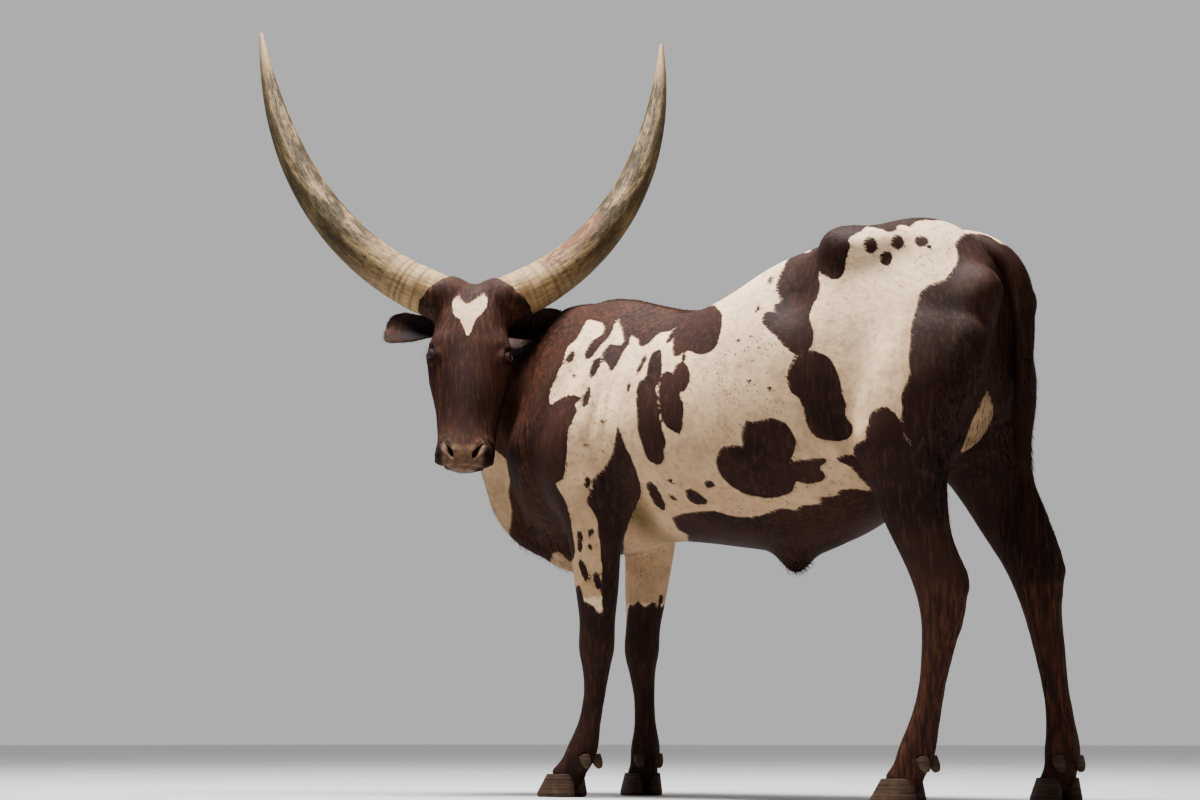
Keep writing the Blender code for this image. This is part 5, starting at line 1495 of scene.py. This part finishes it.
def tail_switch(rng):
    """Long hair at the end of the tail, as strands that hang together."""
    count, sections = STRANDS, 9
    radii = np.array([radius for _, radius in SWITCH])
    angle, depth = rng.uniform(0, 2 * math.pi, count), np.sqrt(rng.random(count))
    start, end = rng.uniform(0.0, 1.6, count), np.minimum(rng.normal(3.5, 0.45, count), 4.0)
    wave = rng.uniform(0, 6.3, count)
    path = np.array(smooth_rows([point for point, _ in SWITCH], 8))
    corners = []
    for i in range(sections + 1):
        share = i / sections
        place = start + (end - start) * share
        centre = np.stack([np.interp(place * 8, np.arange(len(path)), path[:, k]) for k in range(3)], axis=1)
        radius = np.interp(place, np.arange(len(radii)), radii) * (0.25 + 0.75 * depth) * 0.92
        swirl = angle + 0.175 * np.sin(place * 2.2 + wave)
        centre += np.stack([np.cos(swirl) * radius, np.sin(swirl) * radius, 0 * radius], axis=1)
        half = STRAND_RADIUS * (1 - 0.8 * share**2)
        for k in range(3):
            turn = 2 * math.pi * k / 3 + wave
            corners.append(centre + half * np.stack([np.cos(turn), np.sin(turn), 0 * turn], axis=1))
    corners[-3:] = [centre]  # the tip is one point
    corners = np.stack(corners, axis=1)
    values = {name: np.full(count, value) for name, value in zip(TINTS, (MARK_REACH, 0.0, 0.15, 0.0, 0.0))}
    values["root"] = corners[:, :3].mean(axis=1)
    chart = np.stack([0.05 + 0.9 * angle / 6.3, 0.05 + 0.9 * start / 1.6], axis=1)
    finish_piece(add_strands("tail_switch", corners, values, chart, rng), "tail_hair", "tail_switch")


# ---- Materials ----
SPAN_SOCKETS = ("From Min", "From Max", "To Min", "To Max")


class Nodes:
    """Short names for the nodes of one material; each call gives back the node's output."""

    def __init__(self, name, roughness):
        self.material = bpy.data.materials.new(name)
        self.material.use_nodes = True
        self.tree = self.material.node_tree
        self.shader = self.tree.nodes["Principled BSDF"]
        self.shader.inputs["Roughness"].default_value = roughness

    def put(self, socket, value):
        if isinstance(value, bpy.types.NodeSocket):
            self.tree.links.new(value, socket)
        elif isinstance(value, tuple) and len(value) == 3 and socket.type == "RGBA":
            socket.default_value = (*value, 1.0)
        else:
            socket.default_value = value

    def node(self, kind, output=0, settings=(), **inputs):
        made = self.tree.nodes.new(kind)
        for key, value in settings:
            setattr(made, key, value)
        for key, value in inputs.items():
            self.put(made.inputs[key.replace("_", " ")], value)
        return made.outputs[output]

    def attribute(self, name, vector=False):
        return self.node("ShaderNodeAttribute", 1 if vector else 2, [("attribute_name", name)])

    def math(self, operation, a, b):
        made = self.tree.nodes.new("ShaderNodeMath")
        made.operation = operation
        self.put(made.inputs[0], a)
        self.put(made.inputs[1], b)
        return made.outputs[0]

    def times(self, a, b):
        return self.math("MULTIPLY", a, b)

    def plus(self, a, b):
        return self.math("ADD", a, b)

    def noise(self, vector, scale, detail=2.0, roughness=0.5):
        return self.node("ShaderNodeTexNoise", Vector=vector, Scale=scale, Detail=detail, Roughness=roughness)

    def stretch(self, vector, scale):
        return self.node("ShaderNodeMapping", Vector=vector, Scale=scale)

    def span(self, value, low, high, start=0.0, end=1.0):
        made = self.tree.nodes.new("ShaderNodeMapRange")
        for key, number in zip(("Value", *SPAN_SOCKETS), (value, low, high, start, end)):
            self.put(made.inputs[key], number)
        return made.outputs[0]

    def mix(self, share, a, b, blend="MIX"):
        made = self.tree.nodes.new("ShaderNodeMix")
        made.data_type, made.blend_type = "RGBA", blend
        for index, value in ((0, share), (6, a), (7, b)):
            self.put(made.inputs[index], value)
        return made.outputs[2]

    def cells(self, vector, scale):
        """The cells' distance and colour."""
        made = self.tree.nodes.new("ShaderNodeTexVoronoi")
        self.put(made.inputs["Vector"], vector)
        self.put(made.inputs["Scale"], scale)
        return made.outputs["Distance"], made.outputs["Color"]

    def dots(self, vector, scale, size, rate):
        """1 inside round dots: one in some of the cells, of the size in cells."""
        distance, colour = self.cells(vector, scale)
        chosen = self.span(self.node("ShaderNodeSeparateColor", Color=colour), 1 - rate, 1.0)
        gap = self.math("SUBTRACT", self.times(chosen, size), distance)
        return self.span(gap, 0.0, 0.06 * size + 0.01)

    def length(self, vector):
        return self.node("ShaderNodeVectorMath", 1, [("operation", "LENGTH")], Vector=vector)

    def object_place(self):
        return self.node("ShaderNodeTexCoord", 3)

    def finish(self, colour, bump=None, strength=0.0, distance=0.0, roughness=None):
        self.put(self.shader.inputs["Base Color"], colour)
        if roughness is not None:
            self.put(self.shader.inputs["Roughness"], roughness)
        if bump is not None:
            made = self.node("ShaderNodeBump", Height=bump, Strength=strength, Distance=distance)
            self.put(self.shader.inputs["Normal"], made)
        return self.material


BROWN, DARK_BROWN, RED_BROWN = (0.029, 0.0108, 0.0067), (0.012, 0.0048, 0.0034), (0.082, 0.026, 0.011)
# The darker cream tones stand partly for tan and ochre dirt and partly for painted shade.
CREAM, TAN_AND_SHADE, DIRT = (0.88, 0.62, 0.39), (0.33, 0.180, 0.078), (0.24, 0.15, 0.085)
OCHRE_AND_SHADE, WORN_BROWN = (0.100, 0.060, 0.022), (0.058, 0.025, 0.016)
EDGE_WANDER, EDGE_WIDTH = 0.0060, 0.0007  # metres, of the edges between brown and cream
# The third colour here is painted shade, near black, for nostrils, eye openings, lids, ear cups and the sides
# of the muzzle.
BARE_SKIN, BARE_DARK, PAINTED_SHADE_COLOUR = (0.125, 0.066, 0.038), (0.036, 0.017, 0.012), (0.005, 0.0022, 0.0016)


def hide_material(name, coat):
    """Skin and coat share their markings; the coat's values come from each lock's root."""
    n = Nodes(name, 0.62 if coat else 0.70)
    root = n.attribute("root", True)
    wander, fray = (
        n.times(n.math("SUBTRACT", n.noise(root, scale, detail), 0.5), EDGE_WANDER)
        for scale, detail in ((60, 3), (260, 2)))
    edge = n.plus(n.attribute("brown"), n.plus(wander, fray))
    brown = n.span(edge, -EDGE_WIDTH, EDGE_WIDTH)
    patchy = n.span(n.noise(root, 5.0, 4, 0.6), 0.35, 0.65)
    fine = n.noise(root, 60, 4, 0.6)
    cream = n.mix(n.times(patchy, 0.26), CREAM, TAN_AND_SHADE)
    # Patches of dirt, stronger where the cream darkens: partly dirt, partly painted shade.
    dirt_and_shade = n.span(n.noise(root, 16, 5, 0.7), 0.44, 0.68, 0.0, 0.60)
    dirt_and_shade = n.times(dirt_and_shade, n.span(n.attribute("tan"), 0.0, 0.6, 0.45, 1.0))
    cream = n.mix(dirt_and_shade, cream, DIRT)
    # Painted shade, partly tan and ochre dirt: the cream darkens low on the sides, at the front of the
    # shoulder, in the armpit and behind the thighs.
    tan_and_shade_share = n.span(n.attribute("tan"), 0.0, 1.5)
    cream = n.mix(tan_and_shade_share, cream, n.mix(n.span(tan_and_shade_share, 0.6, 1.0), TAN_AND_SHADE, OCHRE_AND_SHADE))
    cream = n.mix(n.span(fine, 0.48, 0.76, 0.0, 0.6), cream, DIRT)
    busy = n.span(n.noise(root, 3.2, 2), 0.40, 0.62, 0.15, 1.0)
    freckle = n.math("MAXIMUM", n.dots(root, 120, 0.42, 0.42), n.dots(root, 42, 0.22, 0.20))
    cream = n.mix(n.times(n.times(freckle, busy), 0.80), cream, BROWN)
    dark = n.mix(patchy, BROWN, DARK_BROWN)
    strands = n.noise(n.stretch(root, (60, 60, 7)), 2.0, 3, 0.6)
    patch = n.span(n.noise(n.stretch(root, (14, 14, 6)), 1.2, 3), 0.25, 0.75, 0.35, 1.0)
    red = n.times(n.times(n.attribute("red"), patch), n.span(strands, 0.42, 0.66))
    dark = n.mix(n.span(strands, 0.50, 0.68, 0.0, 0.55), dark, WORN_BROWN)
    dark = n.mix(red, dark, RED_BROWN)
    colour = n.mix(brown, cream, dark)
    skin = n.mix(n.span(n.noise(root, 90, 3), 0.35, 0.65, 0.0, 0.6), BARE_SKIN, BARE_DARK)
    colour = n.mix(n.attribute("bare"), colour, skin)
    # Painted shade: near black where the painted shade share is high.
    colour = n.mix(n.attribute("painted_shade"), colour, PAINTED_SHADE_COLOUR)
    if coat:
        shade = n.span(n.attribute("shade"), 0.0, 1.0, 0.86, 1.12)
        grey = n.node("ShaderNodeCombineColor", Red=shade, Green=shade, Blue=shade)
        colour = n.mix(1.0, colour, grey, "MULTIPLY")
        n.shader.inputs["Specular IOR Level"].default_value = 0.06
        return n.finish(colour)
    n.shader.inputs["Specular IOR Level"].default_value = 0.07
    hairs = n.noise(n.stretch(root, (90, 420, 420)), 3.0, 3, 0.6)
    pebbles, _ = n.cells(root, 330)
    height = n.plus(n.times(hairs, 0.4), n.times(n.times(pebbles, n.attribute("bare")), -0.8))
    rough = n.span(n.attribute("bare"), 0.0, 1.0, 0.68, 0.50)
    return n.finish(colour, height, 0.25, 0.0010, rough)


HORN_TAN, HORN_FIBRE, HORN_PALE = (0.42, 0.280, 0.140), (0.21, 0.130, 0.056), (0.22, 0.155, 0.080)
# The third colour here is a painted shadow for one side of each horn near its root.
HORN_OLIVE, HORN_DARK, HORN_PAINTED_SHADOW = (0.058, 0.038, 0.0150), (0.014, 0.009, 0.0038), (0.060, 0.044, 0.022)
HORN_DAPPLE, HORN_BAND, HORN_GROOVE = (0.016, 0.010, 0.005), (0.17, 0.095, 0.038), (0.050, 0.028, 0.013)
HOOF_DARK, HOOF_BROWN, HOOF_DUST = (0.022, 0.011, 0.007), (0.060, 0.032, 0.018), (0.11, 0.060, 0.032)
IRIS_DARK, IRIS_BROWN = (0.016, 0.008, 0.005), (0.045, 0.020, 0.010)
EYE_RIM, PUPIL = (0.030, 0.018, 0.014), (0.003, 0.003, 0.004)
HORN_TIP, HORN_STAIN = (0.30, 0.19, 0.115), (0.11, 0.034, 0.014)


def horn_material():
    n = Nodes("horn_matter", 0.6)
    along, around = n.attribute("along"), n.attribute("around", True)
    fibres = n.noise(around, 24, 5, 0.65)
    speckle = n.noise(n.stretch(around, (1, 1, 6)), 7.0, 5, 0.7)
    blotch = n.noise(n.stretch(around, (1, 1, 4.5)), 2.4, 5, 0.65)
    rings = n.noise(n.stretch(around, (0.5, 0.5, 70)), 1.0, 4, 0.65)
    inner = n.node("ShaderNodeSeparateXYZ", Vector=around)
    middle = n.times(n.span(along, 0.14, 0.30), n.span(along, 0.98, 0.84))
    olive = n.mix(n.span(fibres, 0.40, 0.60), HORN_OLIVE, HORN_DARK)
    base = n.mix(n.span(fibres, 0.42, 0.60), HORN_TAN, HORN_FIBRE)
    for share, strength, colour in (
        (n.times(middle, n.span(blotch, 0.28, 0.52)), 1.0, olive),
        (n.times(middle, n.span(speckle, 0.46, 0.34)), 0.45, HORN_PALE),
        (n.times(n.span(along, 0.06, 0.20), n.span(speckle, 0.52, 0.62)), 0.80, HORN_DAPPLE),
        (n.times(n.span(along, 0.24, 0.06), n.span(rings, 0.46, 0.58)), 0.60, HORN_BAND),
        (n.attribute("ring"), 0.75, HORN_GROOVE),
        (n.span(along, 0.84, 0.97), 0.6, HORN_TIP),
        # a painted shadow along one side of the horn near its root
        (n.times(n.span(inner, 0.2, -0.8), n.span(along, 0.08, 0.3)), 0.55, HORN_PAINTED_SHADOW),
        (n.times(n.span(speckle, 0.44, 0.52), n.attribute("stain")), 1.0, HORN_STAIN),
    ):
        base = n.mix(n.times(share, strength), base, colour)
    height = n.plus(n.times(fibres, 0.8), n.times(speckle, 0.8))
    n.shader.inputs["Specular IOR Level"].default_value = 0.08
    return n.finish(base, height, 0.70, 0.0020, n.span(fibres, 0.3, 0.7, 0.48, 0.70))


def hoof_material():
    n = Nodes("hoof_matter", 0.6)
    place = n.object_place()
    rings = n.noise(n.stretch(place, (6, 6, 240)), 1.0, 3)
    fibres = n.noise(n.stretch(place, (500, 500, 30)), 1.0, 3)
    base = n.mix(n.span(rings, 0.35, 0.65), HOOF_DARK, HOOF_BROWN)
    base = n.mix(n.span(n.noise(place, 30, 3), 0.50, 0.75, 0.0, 0.5), base, HOOF_DUST)
    n.shader.inputs["Specular IOR Level"].default_value = 0.16
    return n.finish(base, n.plus(rings, fibres), 0.35, 0.0008, n.span(fibres, 0.3, 0.7, 0.50, 0.70))


def eye_material():
    n = Nodes("eye_matter", 0.22)
    place = n.attribute("eye_place", True)
    off_axis = n.length(n.stretch(place, (1, 1, 0)))
    pupil = n.length(n.stretch(place, (1, 1.9, 0)))
    threads = n.noise(n.stretch(place, (14, 14, 2)), 2.0, 3)
    iris = n.mix(n.span(threads, 0.35, 0.65), IRIS_DARK, IRIS_BROWN)
    colour = n.mix(n.span(off_axis, 0.66, 0.74), iris, EYE_RIM)
    colour = n.mix(n.span(pupil, 0.50, 0.40), colour, PUPIL)
    n.shader.inputs["Coat Weight"].default_value = 0.15
    n.shader.inputs["Specular IOR Level"].default_value = 0.25
    n.shader.inputs["Coat Roughness"].default_value = 0.06
    return n.finish(colour)


def floor_material():
    n = Nodes("studio_floor", 0.85)
    place = n.object_place()
    tint = n.mix(n.span(n.noise(place, 1.3, 4), 0.35, 0.65), *FLOOR_GREYS)
    return n.finish(tint, n.noise(place, 90, 3), 0.05, 0.002)


# ---- Putting it together ----
MODEL_SHIFT = Vector((0.285, 0.080, 0.0))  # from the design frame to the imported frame


def near_grafts(points):
    """Where ears and tail grow out of the body."""
    local = in_head_space(points)
    away, place = path_distance(points, TAIL_PATH)
    close = (away < 0.050) & (place > 0.6) & (place < 2.2)
    for which, side in SIDES:
        x, y, z = in_ear(points, which, side).T
        close |= (x > -0.01) & (x < 0.040) & (abs(y) < 0.045) & (abs(z) < 0.05) & (local[:, 0] * side > 0.07)
    return close


def make_skin():
    skin = body_skin()
    grafts = [ear_mesh(which, side) for which, side in SIDES] + [round_tube("tail", TAIL, 28, 8)]
    boolean(skin, "UNION", join("grafts", grafts))
    triangulate = skin.modifiers.new("triangulate", "TRIANGULATE")
    triangulate.quad_method = "BEAUTY"
    apply_modifiers(skin)
    relax(skin.data, 4, near_grafts(points_of(skin.data)).astype(float), GRAFT_SWING)
    flesh = ["head", "neck", "trunk", "tail", "ear_left", "ear_right"] + [f"leg_{leg}" for leg in LEG_JOINTS]
    finish_piece(skin, "hide_cream", *flesh)
    return skin


# Locks per piece: (regions, number, length, width, lift in radians)
COAT = {
    "coat_head": (("head",), 47000, 0.0052, 0.0011, 0.16),
    "coat_ears": (("ear_left", "ear_right"), 14000, 0.0070, 0.0010, 0.10),
    "coat_neck": (("neck",), 64000, 0.0110, 0.0014, 0.10),
    "coat_trunk_left": (("trunk",), 66000, 0.0105, 0.0013, 0.07),
    "coat_trunk_right": (("trunk",), 66000, 0.0105, 0.0013, 0.07),
    "coat_rump": (("trunk",), 66000, 0.0105, 0.0013, 0.07),
    "coat_forelegs": (("fore_left", "fore_right"), 34000, 0.0080, 0.0012, 0.10),
    "coat_hindlegs": (("hind_left", "hind_right"), 44000, 0.0080, 0.0012, 0.10),
    "coat_tail": (("tail",), 9000, 0.0150, 0.0013, 0.16),
}
RUMP_FRONT = 0.33
EAR_HAIRS, FRINGE_SPREAD = 2600, 0.30
# Fringes where the coat is longer: (number, length, width, lift, droop)
FRINGES = {
    "tuft_poll": (1200, 0.015, 0.0013, 0.18, 0.10),
    "tuft_dewlap": (1500, 0.018, 0.0013, 0.35, 0.3),
    "tuft_sheath": (160, 0.016, 0.0012, 0.4, 0.5),
    "tuft_thigh": (2400, 0.017, 0.0013, 0.30, 0.2),
    "tuft_withers": (2200, 0.014, 0.0013, 0.24, 0.1),
    "tuft_coronet": (3000, 0.013, 0.0012, 0.18, 0.1),
    "tuft_tail": (1500, 0.032, 0.0012, 0.22, 0.1),
}


def make_coat(hide, rng):
    x, y, _ = hide.points.T
    for name, (regions, count, length, width, lift) in COAT.items():
        weight = hide.hairy * np.isin(hide.regions, regions)
        if name.startswith("coat_trunk"):
            weight *= (x < RUMP_FRONT) & ((y < 0) == name.endswith("left"))
        if name == "coat_rump":
            weight *= x >= RUMP_FRONT
        roots = hide.roots(weight, count, rng)
        if name == "coat_head":
            local = in_head_space(roots["points"])
            size = 0.65 + 0.5 * ramp(-local[:, 1], -0.02, -0.10) + 0.9 * ramp(local[:, 2], -0.12, 0.0)
            length = length * (size * (1 - 0.45 * ramp(-local[:, 2], 0.38, 0.46)))
        make_locks(name, roots, length, width, lift, rng)


def fringe_places(hide):
    """How thick each fringe is at each point of the skin."""
    x, y, z = hide.points.T
    normal_x, _, normal_z = hide.normals.T
    near_poll = np.exp(-((hide.local[:, 0] / 0.050) ** 2) - ((hide.local[:, 2] + 0.012) / 0.035) ** 2)
    return {
        "tuft_poll": (hide.regions == "head") * near_poll * (hide.local[:, 1] < 0.09),
        "tuft_dewlap": (x < -0.42) & (z < 0.80) & (z > 0.50) & (normal_z < -0.25) & (abs(y) < 0.10),
        "tuft_sheath": np.exp(-(((x - 0.140) / 0.035) ** 2 + (y / 0.03) ** 2)) * (z < 0.575),
        "tuft_thigh": (x > 0.62) & (z > 0.62) & (z < 1.05) & (normal_x > 0.55),
        "tuft_withers": (x < -0.15) & (x > -0.60) & (normal_z > 0.90) & (z > 1.18),
        "tuft_coronet": np.isin(hide.regions, list(LEG_JOINTS)) & (z < 0.064) & (normal_z > -0.6),
        "tuft_tail": (hide.regions == "tail") & (z < 0.95),
    }


def ear_rims(hide):
    """1 along the edges of the ears, and less in their cups."""
    rim = np.zeros(len(hide.points))
    share, above, below, _ = np.array(EAR_SHAPE).T
    for which, side in SIDES:
        along, out, across = in_ear(hide.points, which, side).T
        above_here, below_here = (np.interp(along, share * EAR_LENGTH, width) for width in (above, below))
        reach = np.where(across > 0, across / above_here, -across / below_here)
        inside = 0.35 * (out < 0.0) * (along < 0.12)
        rim += (hide.regions == f"ear_{which}") * (ramp(reach, 0.80, 0.97) + inside)
    return rim


def make_long_hair(hide, rng):
    """The fringes, the rims of the ears and the lashes."""
    places = fringe_places(hide)
    for name, (count, length, width, lift, droop) in FRINGES.items():
        roots = hide.roots((places[name] * hide.hairy).astype(float), count, rng)
        make_locks(name, roots, length, width, lift, rng, 3, droop, FRINGE_SPREAD)
    roots = hide.roots(ear_rims(hide), EAR_HAIRS, rng)
    make_locks("tuft_ears", roots, 0.011, 0.0010, 0.20, rng, steps=3, droop=0.10, spread=0.25)
    make_locks("lashes", lash_roots(rng), 0.0150, 0.0007, 0.10, rng, steps=4, droop=0.25, spread=0.10)


def set_look(obj, look):
    obj.data.materials.clear()
    obj.data.materials.append(look)


def build_animal():
    """Makes every piece of the animal, and gives each its look, place, slot and body."""
    rng = np.random.default_rng(SEED)
    skin = make_skin()
    hide = Hide(skin)
    for key in TINTS:
        set_value(skin.data, key, getattr(hide, key))
    set_value(skin.data, "root", hide.points)
    make_coat(hide, rng)
    make_long_hair(hide, rng)
    for which, side in SIDES:
        horn(which, side)
        eyeball(which, side)
    for leg in LEG_JOINTS:
        for which, side in (("inner", 1), ("outer", -1)):
            claw(f"hoof_{leg}_{which}", leg, side)
            dewclaw(f"dewclaw_{leg}_{which}", leg, side)
    tail_switch(rng)
    looks = {"horn": horn_material(), "hoof": hoof_material(), "eye": eye_material()}
    coat_look, skin_look = hide_material("coat_matter", True), hide_material("skin_matter", False)
    for piece, slot in finished.items():
        set_look(piece, looks.get(slot, skin_look if piece is skin else coat_look))
        piece.data.transform(Matrix.Translation(MODEL_SHIFT))
        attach(piece, "root")
    # The solids that the pieces stand for carry a material too.
    for name, node in frame["nodes"].items():
        set_look(node, looks.get(name.split("_")[0].replace("dewclaw", "hoof"), skin_look))


def add_light(name, kind, energy):
    light = bpy.data.lights.new(name, kind)
    light.energy = energy
    return light, add_object(name, light)


BACKDROP = (-0.63, 0.76, 0.16)  # its direction
KEY_PLACE, KEY_TARGET = Vector((-0.5, -0.9, 6.0)), Vector((0.1, 0, 1.0))
KEY_SIZE, KEY_POWER = 2.0, 1520  # metres across, and watts
SUN_POWER, SUN_WIDTH = 1.5, 40  # of an even light from above; its width is in degrees
FLOOR_REACH = 60
FLOOR_GREYS = (0.38, 0.38, 0.38), (0.42, 0.42, 0.42)
ROOM_GREY = 0.87
ROOM_LIGHT = (-0.6, 0.6, 0.11, 0.62)  # from and to these shares of facing the backdrop, these strengths


def make_room():
    """A light grey room that is paler on the side of the backdrop than on the other."""
    world = bpy.data.worlds.new("studio")
    bpy.context.scene.world = world
    world.use_nodes = True
    nodes, links = world.node_tree.nodes, world.node_tree.links
    sky = nodes["Background"]
    sky.inputs["Color"].default_value = (ROOM_GREY, ROOM_GREY, ROOM_GREY, 1)
    kinds = ("ShaderNodeTexCoord", "ShaderNodeVectorMath", "ShaderNodeMapRange")
    direction, facing, strength = (nodes.new(kind) for kind in kinds)
    facing.operation = "DOT_PRODUCT"
    facing.inputs[1].default_value = BACKDROP
    for name, value in zip(SPAN_SOCKETS, ROOM_LIGHT):
        strength.inputs[name].default_value = value
    links.new(direction.outputs["Generated"], facing.inputs[0])
    links.new(facing.outputs["Value"], strength.inputs["Value"])
    links.new(strength.outputs["Result"], sky.inputs["Strength"])


def make_studio():
    bm = bmesh.new()
    bmesh.ops.create_grid(bm, x_segments=4, y_segments=4, size=FLOOR_REACH)
    floor = object_from("studio_floor", bm)
    floor.data.materials.append(floor_material())
    make_room()
    light, obj = add_light("key", "AREA", KEY_POWER)
    light.shape, light.size = "DISK", KEY_SIZE
    obj.location = KEY_PLACE
    obj.rotation_euler = (KEY_TARGET - KEY_PLACE).to_track_quat("-Z", "Y").to_euler()
    light, _ = add_light("overhead", "SUN", SUN_POWER)
    light.angle = math.radians(SUN_WIDTH)


def make_camera():
    camera = bpy.data.cameras.new("camera")
    camera.lens, camera.sensor_width, camera.clip_end = CAMERA_LENS, SENSOR, CAMERA_REACH
    obj = add_object("camera", camera)
    obj.location = Vector(CAMERA_PLACE) + MODEL_SHIFT
    obj.rotation_euler = (math.radians(90 + CAMERA_RISE), 0, math.radians(CAMERA_TURN))
    bpy.context.scene.camera = obj


clear_default_scene()
build_animal()
make_studio()
make_camera()
